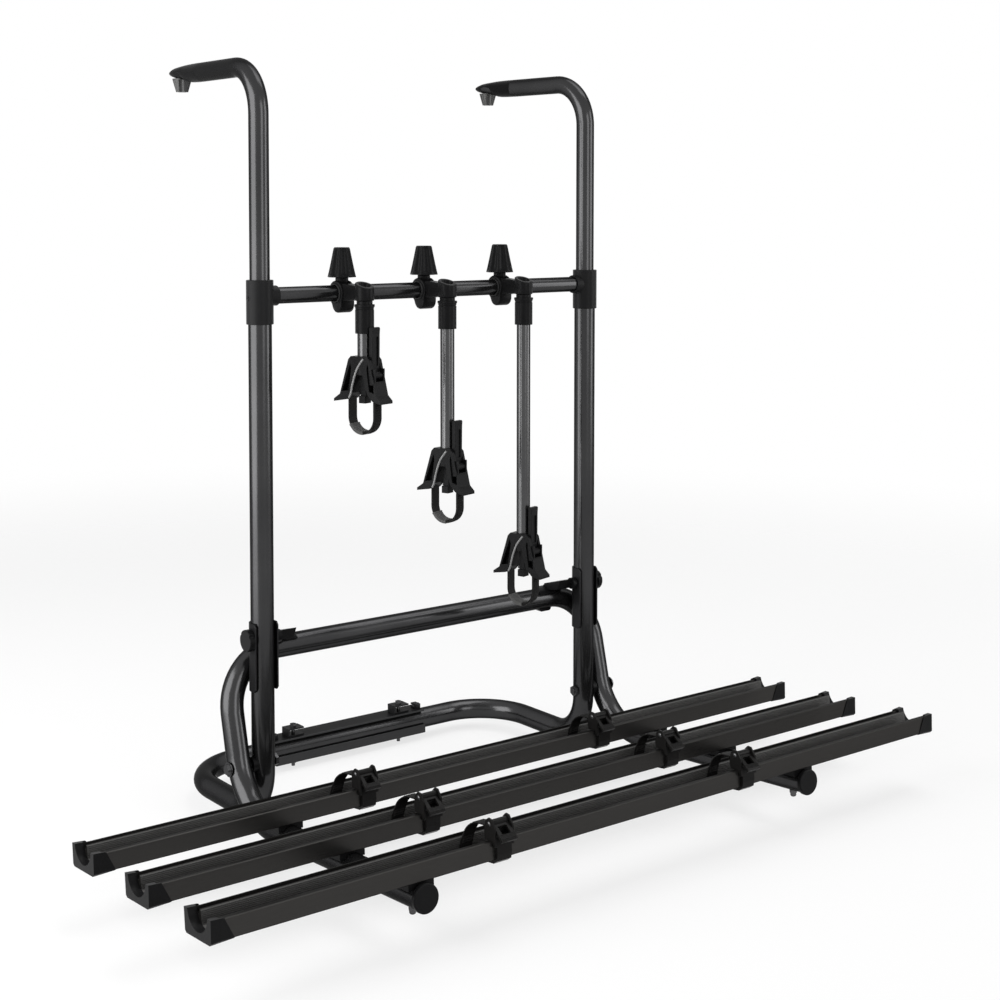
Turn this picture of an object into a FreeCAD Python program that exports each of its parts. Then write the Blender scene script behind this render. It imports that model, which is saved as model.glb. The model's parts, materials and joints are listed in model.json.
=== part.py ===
import FreeCAD, Part
import math
import os

# Rear-wall bicycle carrier for a motorhome: a bent tube frame with telescopic
# hooks, a fold-up platform with three wheel rails, and three frame holders.
# Millimetres. X runs along the rails, +Y points at the vehicle wall, +Z is up.
# The origin is the middle of the lower wall mount, on the wall's surface.

V = FreeCAD.Vector
X_AXIS = V(1, 0, 0)
Y_AXIS = V(0, 1, 0)
Z_AXIS = V(0, 0, 1)
SIDES = (-1, 1)

# Clearances
slide_gap = 0.3          # radial, of all that slides, swings or turns
seat_gap = 0.05          # between pieces that are fixed to each other
pin_gap = 0.08           # radial, of a pin in its bearing

# Main frame
post_span = 631.0        # post axis to post axis
post_to_wall = 282.5     # post axis to the wall's surface
lower_od = 35.0          # posts, wall bar and platform tube
post_bend_r = 72.0       # foot of each post
wall_bend_r = 100.0      # corners of the wall bar
post_top_above = 10.0    # post end above the crossbar's axis
crossbar_z = 785.0       # crossbar axis above the wall bar's axis
crossbar_od = 25.0
crossbar_wall = 2.0

# Sleeves that join post, hook tube and crossbar
sleeve_wall = 2.75
sleeve_below = 41.8      # below the crossbar's axis
sleeve_above = 23.9
socket_wall = 2.6
socket_reach = 7.0       # how far the crossbar's socket stands out of the sleeve
screw_r = 3.0
screw_drop = 3.0         # set screw below the crossbar's axis
screw_stand = 1.2        # head standing out of the sleeve

# Telescopic hooks
hook_od = 30.0
hook_wall = 2.0
hook_rise = 340.0        # hook axis above the crossbar's axis
hook_bend_r = 72.0
hook_hidden = 240.0      # length held inside the post at rest
hook_toe_in_deg = 2.2    # the hooks' ends are turned towards each other
tongue_start = 185.0     # from the post axis to where the tube starts to flatten
tongue_tip = 279.0       # from the post axis to the tip
tongue_w = 34.0
tongue_t = 18.0
tongue_tip_w = 25.0
tongue_tip_t = 8.0
tongue_rise = 2.5        # how far the tongue's middle lies above the tube's axis
hook_knob_out = 259.0    # knob axis from the post axis
hook_knob_top_r = 15.5
hook_knob_low_r = 9.5
hook_knob_h = 21.0
hook_stud_r = 4.0
hook_stud_up = 12.0

# Wall profile: a rolled channel that the wall bar lies in
profile_len = 305.0
profile_t = 3.0
profile_lip = 12.0       # lower lip in front of the bar
profile_bolt_x = 108.0
profile_bolt_r = 3.0
screw_pitch_in = 100.0
screw_pitch_out = 270.0
screw_pitch_z = 28.0
screw_hole_r = 2.75
clip_len = 30.0
clip_w = 22.0
clip_h = 14.0
clip_t = 2.5
end_clip_in = 6.5        # from the profile's end
end_clip_w = 10.0
end_clip_h = 8.0

# Post brackets, which stop the platform's bar
bracket_t = 2.5
bracket_z0 = 195.0
bracket_z1 = 298.0
bracket_front = 13.5     # flange before the post's axis
bracket_chamfer = 5.0

# Latches that hold the platform down
latch_z = 273.0
latch_pin_r = 4.0
latch_disc_r = 16.5
latch_disc_t = 9.0
latch_boss_r = 9.5
latch_boss_t = 9.0
latch_shell_t = 3.6
latch_shell_w = 33.0
latch_shell_reach = 75.5  # inner end of the shell from the post's axis
latch_from_deg = 80.0    # shell's arc round the bar, from the wall side
latch_to_deg = 143.0

# Platform tube
arm_beside = 40.0        # arm axis beside the post's axis
bar_z = 244.1
bar_lead = 3.3           # the bar already bends down where it passes the posts
pivot_z = 85.0
upper_lean_deg = 13.6    # arm above the pivot, from vertical
arm_rise_deg = 3.64      # forward part, from level
arm_drop = 72.0          # forward part's axis under the pivot, square to it
arm_over = 0.9           # tube end beyond the front rail's front face
tube_wall = 2.2
knee_bend_r = 110.0
bar_bend_r = 85.0
end_cap_r = 19.5
end_cap_t = 6.0
end_plug_len = 16.0
pad_beside = 68.5        # rest pad under the platform's bar, from the right post's axis
pad_len = 24.0
pad_w = 14.0
pad_h = 4.0

# Pivots
pivot_r = 5.0
pivot_head_r = 9.0
pivot_head_t = 5.5
pivot_nut_t = 5.0
pivot_spacer_r = 12.0

# Wheel rails
rail_len = 1290.0
rail_w = 52.5
rail_h = 26.0
rail_lip = 8.0           # thickness of each side wall at its top
rail_foot = 10.0         # and at the trough's floor
rail_floor = 5.0
rail_skin = 2.0          # skin of the hollow side walls
rail_slot_w = 12.0
rail_slot_h = 1.8
rib_w = 1.3
rib_d = 0.7
rib_count = 7
rail_count = 3
rail_front = 148.1       # first rail's front face from the pivot, along the arm
rail_pitch = 161.0
rail_seat = 2.7          # rail's underside above the arm

# Rail end caps
cap_over = 12.2          # end face beyond the rail's end
cap_top_len = 15.0
cap_low_len = 29.0
cap_proud = 1.0
cap_flare_w = 2.3        # each side, at the end
cap_flare_h = 4.0        # at the end's top
cap_mouth = 41.0
cap_floor = 7.0

# Saddles and bolts between arms and rails
saddle_len = 40.0        # along the rail
saddle_w = 44.0
saddle_hug = 7.0
rail_bolt_r = 3.0
rail_bolt_head_r = 6.5
rail_bolt_head_h = 3.2
rail_nut_r = 5.0
rail_nut_h = 4.5
rail_dome_r = 4.6        # cap nut's dome
rail_dome_h = 6.0

# Wheel straps and their buckles, from the rail's front top edge
strap_xs = (-228.0, 228.0)
strap_w = 20.0
strap_t = 2.4
strap_shift = 29.0       # hooked end lies this far along the rail
strap_rise = 19.0        # arch above the rail
strap_dip = 14.0         # hooked end below the rail's top
strap_in = (15.0, 13.2)  # where the band enters the buckle, and its end
strap_end = (4.0, 8.4)
strap_steps = 14
plate_w = 24.0
plate_t = 2.5
plate_bulge = 3.0
plate_foot = 32.0
foot_plate_t = 6.5
cheek_t = 2.5
cheek_in = 13.3          # inner face of each cheek from the buckle's middle
buckle_back = 16.0       # behind the rail's front face
buckle_front = 7.0
buckle_up = 29.0
buckle_down = 8.0
lever_pin_r = 2.5
lever_pin_y = 6.0
lever_pin_z = 21.0
lever_hub_r = 5.0
lever_w = 25.6
lever_t = 4.0
lever_len = 30.0
lever_lean_deg = 130.0   # closed lever, from straight up towards the front

# Frame holders on the crossbar
holder_xs = (-172.4, -19.2, 132.4)
jaw_drops = (92.0, 244.0, 396.0)   # jaw top below the crossbar's axis
holder_turn_deg = 15.7   # how far each arm is turned about its own axis
liner_wall = 1.7
liner_len = 46.0
clamp_wall = 5.2
clamp_len = 40.0
clamp_slit = 2.0
neck_r = 11.0
neck_top = 24.0
knob_low_r = 22.5
knob_top_r = 12.5
knob_h = 45.5
knob_skirt = 5.0
knob_flutes = 8
flute_r = 5.0
knob_stud_r = 4.0
knob_stud_len = 3.2
arm_out = 63.0           # arm axis before the crossbar's axis
boss_r = 14.5
boss_low = 9.0           # below the crossbar's axis
boss_front_top = 10.0
boss_back_top = 20.0
boss_recess_r = 9.0
boss_floor = 7.0
arm_bolt_r = 4.0
arm_bolt_head_r = 6.5
arm_bolt_head_h = 6.0
washer_r = 12.0
washer_t = 5.2
collar_flange_r = 15.3
collar_flange_t = 3.6
collar_r = 14.3
collar_low = 58.0        # collar's lower end below the crossbar's axis
arm_od = 22.0
arm_wall = 1.8
arm_insert = 34.0        # arm tube inside the collar
arm_in_jaw = 22.0

# Jaw that holds a bicycle's frame tube
jaw_w = 28.0             # along the held tube
jaw_top_half = 21.0
jaw_far = 38.0           # outer face of each cheek at its foot
jaw_near = 34.0
foot_far = 50.0
foot_near = 42.5
jaw_h = 58.0
foot_drop = 70.0
foot_t = 7.0
jaw_socket_r = 14.0
jaw_rim = 4.0
jaw_web = 8.0
jaw_gate_half = 16.0
tooth_half = 6.0         # block on the jaw's inner rib
tooth_w = 14.0
tooth_low = 71.0
slot_w = 3.2
slot_h = 14.0
ratchet_w = 23.0
ratchet_out = 29.5
ratchet_top = 18.0
ratchet_low = 42.0
loop_r = 26.0
loop_low = 118.0
loop_t = 3.0
loop_w = 17.0
loop_in = 8.0            # limbs held inside the cheeks
sleeve_t = 2.2           # rubber sleeve round the loop's bottom
sleeve_more = 2.0        # and its extra width
hand_pin_r = 2.5
hand_pin_out = 23.0
hand_pin_drop = 28.0
hand_len = 72.0
hand_w = 17.0
hand_t = 6.0
hand_in = 16.0           # inner face from the arm's axis

# Sizes that follow from the ones above
post_x = post_span / 2
post_y = -post_to_wall
arm_x = post_x + arm_beside
arm_reach = rail_front + (rail_count - 1) * rail_pitch + arm_over
latch_shell_in = post_x - latch_shell_reach
pad_x0 = post_x - pad_beside
pad_x1 = pad_x0 + pad_len
cap_end = rail_len / 2 + cap_over
lower_r = lower_od / 2
hook_r = hook_od / 2
crossbar_r = crossbar_od / 2
post_bore_r = hook_r + slide_gap
bar_y_wall = -(profile_t + seat_gap + lower_r)
post_top = crossbar_z + post_top_above
sleeve_r = lower_r + sleeve_wall
hook_z = crossbar_z + hook_rise
bracket_in = lower_r + seat_gap
bracket_out = bracket_in + bracket_t
platform_bar_y = post_y + bracket_out + slide_gap + lower_r + bar_lead
rail_z = -arm_drop + lower_r + rail_seat
rail_top = rail_z + rail_h
holder_y = post_y - arm_out
liner_r = crossbar_r + slide_gap + liner_wall
clamp_bore_r = liner_r + slide_gap
clamp_r = clamp_bore_r + clamp_wall
arm_r = arm_od / 2


def rod(radius, start, end):
    """Solid cylinder between two points."""
    way = end - start
    return Part.makeCylinder(radius, way.Length, start, way)


def pipe(outer, inner, start, end):
    """Hollow cylinder between two points."""
    return rod(outer, start, end).cut(rod(inner, start, end))


def block(x0, x1, y0, y1, z0, z1):
    """Box between two corners."""
    return Part.makeBox(x1 - x0, y1 - y0, z1 - z0, V(x0, y0, z0))


def fused(shapes):
    """One solid from shapes that overlap."""
    return shapes[0].multiFuse(shapes[1:]).removeSplitter()


def polygon_x(points, x0, x1):
    """Prism from (y, z) points, between two places along X."""
    wire = Part.makePolygon([V(x0, y, z) for y, z in points + points[:1]])
    return Part.Face(wire).extrude(V(x1 - x0, 0, 0))


def turned(shape, degrees, axis=Z_AXIS, centre=V(0, 0, 0)):
    """Copy of a shape turned about an axis."""
    copy = shape.copy()
    copy.rotate(centre, axis, degrees)
    return copy


def moved(shape, x, y, z):
    """Copy of a shape moved by a step."""
    copy = shape.copy()
    copy.translate(V(x, y, z))
    return copy


def mirrored(shape):
    """Copy of a shape on the other side of the middle plane."""
    return shape.mirror(V(0, 0, 0), X_AXIS)


def hexagon(radius, height, base):
    """Hexagonal prism standing on a point along +Z, radius across its flats."""
    corner = radius / math.cos(math.pi / 6)
    points = [V(corner * math.cos(i * math.pi / 3), corner * math.sin(i * math.pi / 3), 0) + base
              for i in range(7)]
    return Part.Face(Part.makePolygon(points)).extrude(V(0, 0, height))


def bent_rod(corners, bends, radius):
    """Round bar along straight runs joined by arcs of the given bend radii."""
    pieces = []
    start = corners[0]
    for corner, after, bend in zip(corners[1:], corners[2:], bends):
        into = (corner - start).normalize()
        out = (after - corner).normalize()
        turn = into.getAngle(out)
        step = bend * math.tan(turn / 2)
        arc_start = corner - into * step
        pieces.append(rod(radius, start, arc_start))
        side = (out - into * into.dot(out)).normalize()
        disc = Part.Face(Part.Wire(Part.makeCircle(radius, arc_start, into)))
        pieces.append(disc.revolve(arc_start + side * bend, into.cross(out), math.degrees(turn)))
        start = corner + out * step
    pieces.append(rod(radius, start, corners[-1]))
    return fused(pieces)


def bent_pipe(corners, bends, outer, inner):
    """Bent tube with its bore."""
    return bent_rod(corners, bends, outer).cut(bent_rod(corners, bends, inner))


def fluted(low_r, top_r, height, count, cut_r, cut_in, skirt):
    """Tapered grip on z = 0 with finger flutes above a plain skirt."""
    body = Part.makeCone(low_r, top_r, height)
    lean = math.degrees(math.atan2(low_r - top_r, height))
    flute = Part.makeCylinder(cut_r, 2 * height, V(low_r + cut_r - cut_in, 0, skirt))
    flute.rotate(V(low_r + cut_r - cut_in, 0, 0), Y_AXIS, -lean)
    for i in range(count):
        body = body.cut(turned(flute, 360.0 * i / count))
    return body


def tilted(shape):
    """Copy of a shape drawn in the level platform frame, put on the pivots."""
    return moved(turned(shape, -arm_rise_deg, X_AXIS), 0, post_y, pivot_z)


def sides(shape):
    """The shape and its mirror image as one group."""
    return Part.makeCompound([shape, mirrored(shape)])


def lower_frame_tube():
    """Both posts, their feet and the wall bar, bent from one tube."""
    corners = [V(-post_x, post_y, post_top), V(-post_x, post_y, 0), V(-post_x, bar_y_wall, 0),
               V(post_x, bar_y_wall, 0), V(post_x, post_y, 0), V(post_x, post_y, post_top)]
    tube = bent_pipe(corners, [post_bend_r, wall_bend_r, wall_bend_r, post_bend_r],
                     lower_r, post_bore_r)
    for side in SIDES:
        out = V(side * (post_x + lower_r + 1), 0, 0)
        within = V(side * (post_x - lower_r - 1), 0, 0)
        for radius, z in ((pivot_r + seat_gap, pivot_z), (latch_pin_r + pin_gap, latch_z)):
            tube = tube.cut(rod(radius, within + V(0, post_y, z), out + V(0, post_y, z)))
        screw_z = crossbar_z - screw_drop
        tube = tube.cut(rod(screw_r + seat_gap, V(side * post_x, post_y, screw_z),
                            out + V(0, post_y, screw_z)))
        bolt_x = side * profile_bolt_x
        tube = tube.cut(rod(profile_bolt_r + seat_gap, V(bolt_x, bar_y_wall, -lower_od),
                            V(bolt_x, bar_y_wall, lower_od)))
    return tube


def sleeve():
    """Moulded joint of a post, a hook tube and the crossbar, right side."""
    low = crossbar_z - sleeve_below
    high = crossbar_z + sleeve_above
    shell = Part.makeCylinder(sleeve_r, high - low, V(post_x, post_y, low))
    rims = [edge for edge in shell.Edges if edge.Length > sleeve_r and len(edge.Vertexes) == 1]
    shell = shell.makeFillet(sleeve_wall * 0.4, rims)
    socket_in = V(post_x - sleeve_r - socket_reach, post_y, crossbar_z)
    socket = rod(crossbar_r + socket_wall, socket_in, V(post_x, post_y, crossbar_z))
    body = fused([shell, socket])
    body = body.cut(rod(lower_r + seat_gap, V(post_x, post_y, low - 1),
                        V(post_x, post_y, post_top + seat_gap)))
    body = body.cut(rod(post_bore_r, V(post_x, post_y, post_top), V(post_x, post_y, high + 1)))
    body = body.cut(rod(crossbar_r + seat_gap, socket_in - V(1, 0, 0),
                        V(post_x - sleeve_r, post_y, crossbar_z)))
    screw_z = crossbar_z - screw_drop
    return body.cut(rod(screw_r + seat_gap, V(post_x, post_y, screw_z),
                        V(post_x + 2 * sleeve_r, post_y, screw_z)))


def crossbar():
    """Tube that carries the holders, seated in both sleeves' sockets."""
    half = post_x - sleeve_r - seat_gap
    return pipe(crossbar_r, crossbar_r - crossbar_wall,
                V(-half, post_y, crossbar_z), V(half, post_y, crossbar_z))


def sleeve_screw():
    """Set screw that locks a hook tube's height, right side."""
    z = crossbar_z - screw_drop
    inner = V(post_x + post_bore_r, post_y, z)
    outer = V(post_x + sleeve_r + screw_stand, post_y, z)
    socket = turned(hexagon(screw_r * 0.55, 2.5, V(0, 0, 0)), 90, Y_AXIS)
    socket = moved(socket, outer.x - 2.5, post_y, z)
    return rod(screw_r, inner, outer).cut(socket)


def toed_in(shape):
    """Copy of a right-side piece turned inwards about the post's axis."""
    return turned(shape, hook_toe_in_deg, Z_AXIS, V(post_x, post_y, 0))


def ellipse_y(x, y, z, width, height):
    """Elliptical wire square to Y."""
    ring = Part.makeCircle(1.0, V(0, 0, 0), Y_AXIS)
    scale = FreeCAD.Matrix()
    scale.scale(width / 2, 1, height / 2)
    return moved(Part.Wire(ring.transformGeometry(scale)), x, y, z)


def hook_tube():
    """Telescopic tube with its bent end flattened to a tongue, right side."""
    flat_y = post_y + tongue_start
    corners = [V(post_x, post_y, crossbar_z - hook_hidden), V(post_x, post_y, hook_z),
               V(post_x, flat_y, hook_z)]
    tube = bent_pipe(corners, [hook_bend_r], hook_r, hook_r - hook_wall)
    tip_y = post_y + tongue_tip
    span = tongue_tip - tongue_start
    wires = [ellipse_y(post_x, flat_y, hook_z, hook_od, hook_od),
             ellipse_y(post_x, flat_y + span * 0.45, hook_z + tongue_rise * 0.5,
                       hook_od + (tongue_w - hook_od) * 0.7, hook_od - (hook_od - tongue_t) * 0.5),
             ellipse_y(post_x, flat_y + span * 0.82, hook_z + tongue_rise, tongue_w, tongue_t),
             ellipse_y(post_x, tip_y, hook_z + tongue_rise, tongue_tip_w, tongue_tip_t)]
    body = tube.fuse(Part.makeLoft(wires, True))
    seat = V(post_x, post_y + hook_knob_out, hook_z + tongue_rise - tongue_t)
    face_z = hook_z + tongue_rise - tongue_t / 2 + 0.5
    body = body.cut(Part.makeCylinder(hook_knob_top_r + 1, face_z - seat.z, seat))
    top = V(seat.x, seat.y, face_z + hook_stud_up)
    return toed_in(body.cut(rod(hook_stud_r + pin_gap, seat, top)))


def hook_knob():
    """Star knob under the hook's tongue, with its stud, right side."""
    face_z = hook_z + tongue_rise - tongue_t / 2 + 0.5
    grip = fluted(hook_knob_top_r, hook_knob_low_r, hook_knob_h, 6, 5.0, 3.0, 2.5)
    grip = turned(grip, 180, X_AXIS)
    stud = Part.makeCylinder(hook_stud_r, hook_stud_up - 2, V(0, 0, -1))
    knob = moved(fused([grip, stud]), post_x, post_y + hook_knob_out, face_z - slide_gap)
    return toed_in(knob)


def wall_profile():
    """Channel on the wall: back, level top flange, and lower flange with a lip."""
    top = lower_r + seat_gap
    front = bar_y_wall - lower_r - seat_gap
    outline = [(0, top + profile_t), (front, top + profile_t), (front, top),
               (-profile_t, top), (-profile_t, -top), (front, -top),
               (front, -top + profile_lip), (front - profile_t, -top + profile_lip),
               (front - profile_t, -top - profile_t), (0, -top - profile_t)]
    half = profile_len / 2
    body = polygon_x(outline, -half, half)
    for pitch in (screw_pitch_in, screw_pitch_out):
        for x in (-pitch / 2, pitch / 2):
            for z in (-screw_pitch_z / 2, screw_pitch_z / 2):
                body = body.cut(rod(screw_hole_r, V(x, -profile_t - 1, z), V(x, 1, z)))
    for side in SIDES:
        x = side * profile_bolt_x
        body = body.cut(rod(profile_bolt_r + seat_gap, V(x, bar_y_wall, -lower_od),
                            V(x, bar_y_wall, lower_od)))
    return body


def wall_clip(x):
    """Stirrup on the wall profile's top flange that spreads a bolt's load."""
    base = lower_r + seat_gap + profile_t + seat_gap
    outer = block(x - clip_len / 2, x + clip_len / 2, bar_y_wall - clip_w / 2,
                  bar_y_wall + clip_w / 2, base, base + clip_h)
    inner = block(x - clip_len / 2 + clip_t, x + clip_len / 2 + 1, bar_y_wall - clip_w,
                  bar_y_wall + clip_w, base + clip_t, base + clip_h - clip_t)
    ramp = polygon_x([(0, 0), (0, clip_h), (-clip_len, clip_h)], -clip_w, clip_w)
    ramp = moved(turned(ramp, 90), x + clip_len / 2, bar_y_wall, base + clip_h * 0.45)
    body = outer.cut(inner).cut(ramp)
    return body.cut(rod(profile_bolt_r + seat_gap, V(x, bar_y_wall, base - 1),
                        V(x, bar_y_wall, base + clip_h + 1)))


def end_clip():
    """Small clip with its screw at the wall profile's right end."""
    x = profile_len / 2 - end_clip_in
    base = lower_r + seat_gap + profile_t + seat_gap
    y = bar_y_wall
    clip = block(x - end_clip_w / 2, x + end_clip_w / 2, y - 7, y + 9, base, base + end_clip_h)
    clip = clip.cut(block(x - end_clip_w, x + end_clip_w, y - 3, y + 10, base + 2.5,
                          base + end_clip_h - 2.5))
    screw = fused([Part.makeCylinder(2.5, end_clip_h - 4, V(x, y - 5, base + 3)),
                   Part.makeCone(4.0, 2.6, 3.0, V(x, y - 5, base + end_clip_h - 1))])
    return fused([clip, screw])


def wall_bolt(x):
    """Bolt through clip, wall profile and wall bar, with its nut and washer."""
    low = -(lower_r + seat_gap + profile_t + seat_gap)
    high = -low + clip_h + seat_gap
    washer = Part.makeCylinder(8.0, 1.6, V(x, bar_y_wall, low - 1.6))
    nut = hexagon(5.0, 5.0, V(x, bar_y_wall, low - 6.6))
    head = hexagon(5.0, 5.0, V(x, bar_y_wall, high))
    shank = rod(profile_bolt_r, V(x, bar_y_wall, low - 12), V(x, bar_y_wall, high + 1))
    return fused([shank, washer, nut, head])


def post_bracket():
    """Half-round channel behind the post that the platform's bar bears on, right side."""
    front = post_y - bracket_front
    height = bracket_z1 - bracket_z0
    outer = Part.makeCylinder(bracket_out, height, V(post_x, post_y, bracket_z0))
    inner = Part.makeCylinder(bracket_in, height, V(post_x, post_y, bracket_z0))
    flanges = block(post_x - bracket_out, post_x + bracket_out, front, post_y,
                    bracket_z0, bracket_z1)
    gap = block(post_x - bracket_in, post_x + bracket_in, post_y - 2 * bracket_out, post_y,
                bracket_z0, bracket_z1)
    body = fused([outer, flanges]).cut(inner).cut(gap)
    size = bracket_chamfer
    for z, way in ((bracket_z0, 1), (bracket_z1, -1)):
        corner = [(front - 1, z - way), (front + size, z - way), (front - 1, z + way * size + way)]
        body = body.cut(polygon_x(corner, post_x - 2 * bracket_out, post_x + 2 * bracket_out))
    return body.cut(rod(latch_pin_r + pin_gap, V(post_x - 2 * bracket_out, post_y, latch_z),
                        V(post_x + 2 * bracket_out, post_y, latch_z)))


def latch():
    """Latch lever with its shell over the bar, its pin and its round grip, right side."""
    bar_y = platform_bar_y
    inside = lower_r + slide_gap
    outside = inside + latch_shell_t
    boss_face = post_x - bracket_out - slide_gap
    boss_in = boss_face - latch_boss_t
    shell = pipe(outside, inside, V(latch_shell_in, bar_y, bar_z),
                 V(latch_shell_in + latch_shell_w, bar_y, bar_z))
    reach = 3 * outside
    first = math.radians(latch_from_deg)
    last = math.radians(latch_to_deg)
    keep = [(bar_y, bar_z), (bar_y + reach * math.cos(first), bar_z + reach * math.sin(first)),
            (bar_y + reach * math.cos(last), bar_z + reach * math.sin(last))]
    shell = shell.common(polygon_x(keep, 0, post_x))
    boss = rod(latch_boss_r, V(boss_in, post_y, latch_z), V(boss_face, post_y, latch_z))
    shell_end = latch_shell_in + latch_shell_w
    top = bar_z + outside
    web = polygon_x([(post_y - 4, latch_z + latch_boss_r - 1), (bar_y - 4, top + 5),
                     (bar_y + 2, top - 1.5), (bar_y - 12, top - 5),
                     (post_y + 4, latch_z - latch_boss_r + 1)],
                    shell_end - 14, boss_face)
    web = web.cut(rod(inside, V(0, bar_y, bar_z), V(post_x, bar_y, bar_z)))
    web = web.cut(block(0, post_x, post_y - lower_od, post_y - 1, 0, latch_z - latch_boss_r + 2))
    lever = fused([shell, web, boss])
    grip_face = post_x + bracket_out + slide_gap
    pin = rod(latch_pin_r, V(boss_in + 1, post_y, latch_z), V(grip_face + 2, post_y, latch_z))
    grip = Part.makeCylinder(latch_disc_r, latch_disc_t, V(grip_face, post_y, latch_z), X_AXIS)
    rim = [edge for edge in grip.Edges if edge.Length > latch_disc_r and len(edge.Vertexes) == 1]
    grip = grip.makeFillet(1.5, rim)
    for i in range(3):
        notch = rod(3.2, V(grip_face - 1, post_y + latch_disc_r + 1, latch_z),
                    V(grip_face + 2 * latch_disc_t, post_y + latch_disc_r + 1, latch_z))
        grip = grip.cut(turned(notch, 120 * i + 30, X_AXIS, V(0, post_y, latch_z)))
    return fused([lever, pin, grip])


def platform_corners():
    """Corner points of the platform tube, from the left arm's end to the right arm's."""
    rise = math.radians(arm_rise_deg)
    lean = math.radians(upper_lean_deg)
    forward = V(0, -math.cos(rise), math.sin(rise))
    below = V(0, -math.sin(rise), -math.cos(rise))
    on_arm = V(0, post_y, pivot_z) + below * arm_drop
    down = V(0, -math.sin(lean), -math.cos(lean))
    bar = V(0, platform_bar_y, bar_z)
    gap = on_arm - bar
    run = (gap.y * forward.z - gap.z * forward.y) / (down.y * forward.z - down.z * forward.y)
    knee = bar + down * run
    end = on_arm + forward * arm_reach
    left = [end, knee, bar]
    return [p - X_AXIS * arm_x for p in left] + [p + X_AXIS * arm_x for p in reversed(left)]


def rail_centre(index):
    """Middle of a rail from the pivots, along the arm."""
    return -(rail_front + index * rail_pitch - rail_w / 2)


def platform_tube():
    """Bar behind the posts, both arms and their knees, bent from one tube."""
    bends = [knee_bend_r, bar_bend_r, bar_bend_r, knee_bend_r]
    tube = bent_pipe(platform_corners(), bends, lower_r, lower_r - tube_wall)
    tube = tube.cut(rod(pivot_r + pin_gap, V(-2 * arm_x, post_y, pivot_z),
                        V(2 * arm_x, post_y, pivot_z)))
    for side in SIDES:
        x = side * arm_x
        for index in range(rail_count):
            y = rail_centre(index)
            tube = tube.cut(tilted(rod(rail_bolt_r + seat_gap, V(x, y, -arm_drop - lower_od),
                                       V(x, y, -arm_drop + lower_od))))
    return tube


def arm_end_cap():
    """Round plug in the end of the right arm."""
    end = V(arm_x, -arm_reach, -arm_drop)
    disc = Part.makeCylinder(end_cap_r, end_cap_t, end, V(0, -1, 0))
    rim = [edge for edge in disc.Edges
           if len(edge.Vertexes) == 1 and edge.BoundBox.YMax < -arm_reach - end_cap_t / 2]
    disc = disc.makeFillet(1.8, rim)
    plug = rod(lower_r - tube_wall - seat_gap, end, end + V(0, end_plug_len, 0))
    disc = moved(disc, 0, -seat_gap, 0)
    return tilted(fused([disc, plug.fuse(rod(6.0, end, end - V(0, 1, 0)))]))


def bar_pad():
    """Moulded pad under the platform's bar, right side."""
    inside = lower_r + seat_gap
    pad = block(pad_x0, pad_x1, platform_bar_y - pad_w / 2, platform_bar_y + pad_w / 2,
                bar_z - lower_r - pad_h, bar_z - lower_r + 2)
    pad = pad.cut(rod(inside, V(0, platform_bar_y, bar_z), V(post_x, platform_bar_y, bar_z)))
    size = pad_h
    for x, way in ((pad_x0, 1), (pad_x1, -1)):
        low = bar_z - lower_r - pad_h
        slope = Part.makePolygon([V(x - way, 0, low - 1), V(x + way * size, 0, low - 1),
                                  V(x - way, 0, low + size), V(x - way, 0, low - 1)])
        cut = Part.Face(slope).extrude(V(0, 2 * post_y, 0))
        pad = pad.cut(cut)
    return pad


def pivot_bolt():
    """Bolt through the right arm and post, with head and nut."""
    inner = post_x - lower_r - seat_gap
    outer = arm_x + lower_r + slide_gap
    shank = rod(pivot_r, V(inner - pivot_nut_t - 2, post_y, pivot_z), V(outer, post_y, pivot_z))
    head = Part.makeCone(pivot_head_r, pivot_head_r - 2, pivot_head_t, V(outer, post_y, pivot_z),
                         X_AXIS)
    washer = rod(pivot_head_r + 2, V(outer, post_y, pivot_z), V(outer + 1.5, post_y, pivot_z))
    nut = turned(hexagon(pivot_head_r - 0.8, pivot_nut_t, V(0, 0, 0)), 90, Y_AXIS)
    nut = moved(nut, inner - pivot_nut_t, post_y, pivot_z)
    return fused([shank, head, washer, nut])


def pivot_spacer():
    """Washer between the right post and arm, hollowed to fit the round post."""
    post_face = post_x + lower_r
    arm_face = arm_x - lower_r
    start = V(post_face - 3.5, post_y, pivot_z)
    end = V(arm_face - slide_gap, post_y, pivot_z)
    ring = pipe(pivot_spacer_r, pivot_r + seat_gap, start, end)
    return ring.cut(rod(lower_r + seat_gap, V(post_x, post_y, 0), V(post_x, post_y, bar_z)))


def rail_outline():
    """Trough section of a rail as (y, z) points, y = 0 at its middle, z = 0 at its foot."""
    half = rail_w / 2
    top_in = half - rail_lip
    low_in = half - rail_foot
    slope = (top_in - low_in) / (rail_h - rail_floor)
    side = [(low_in - 4, rail_floor), (low_in, rail_floor + 3)]
    pitch = (rail_h - rail_floor - 3) / (rib_count + 1)
    for i in range(rib_count):
        z = rail_floor + 3 + (i + 1) * pitch
        y = low_in + (z - rail_floor) * slope
        side += [(y, z - rib_w / 2), (y + rib_d, z - rib_w / 4),
                 (y + rib_d, z + rib_w / 4), (y, z + rib_w / 2)]
    side += [(top_in, rail_h - 1), (top_in + 1, rail_h), (half - 1.2, rail_h),
             (half, rail_h - 1.2), (half, 1.5), (half - 1.5, 0),
             (rail_slot_w / 2 + 2.5, 0), (rail_slot_w / 2 + 1.5, rail_slot_h),
             (rail_slot_w / 2, rail_slot_h)]
    return side + [(-y, z) for y, z in reversed(side)]


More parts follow.
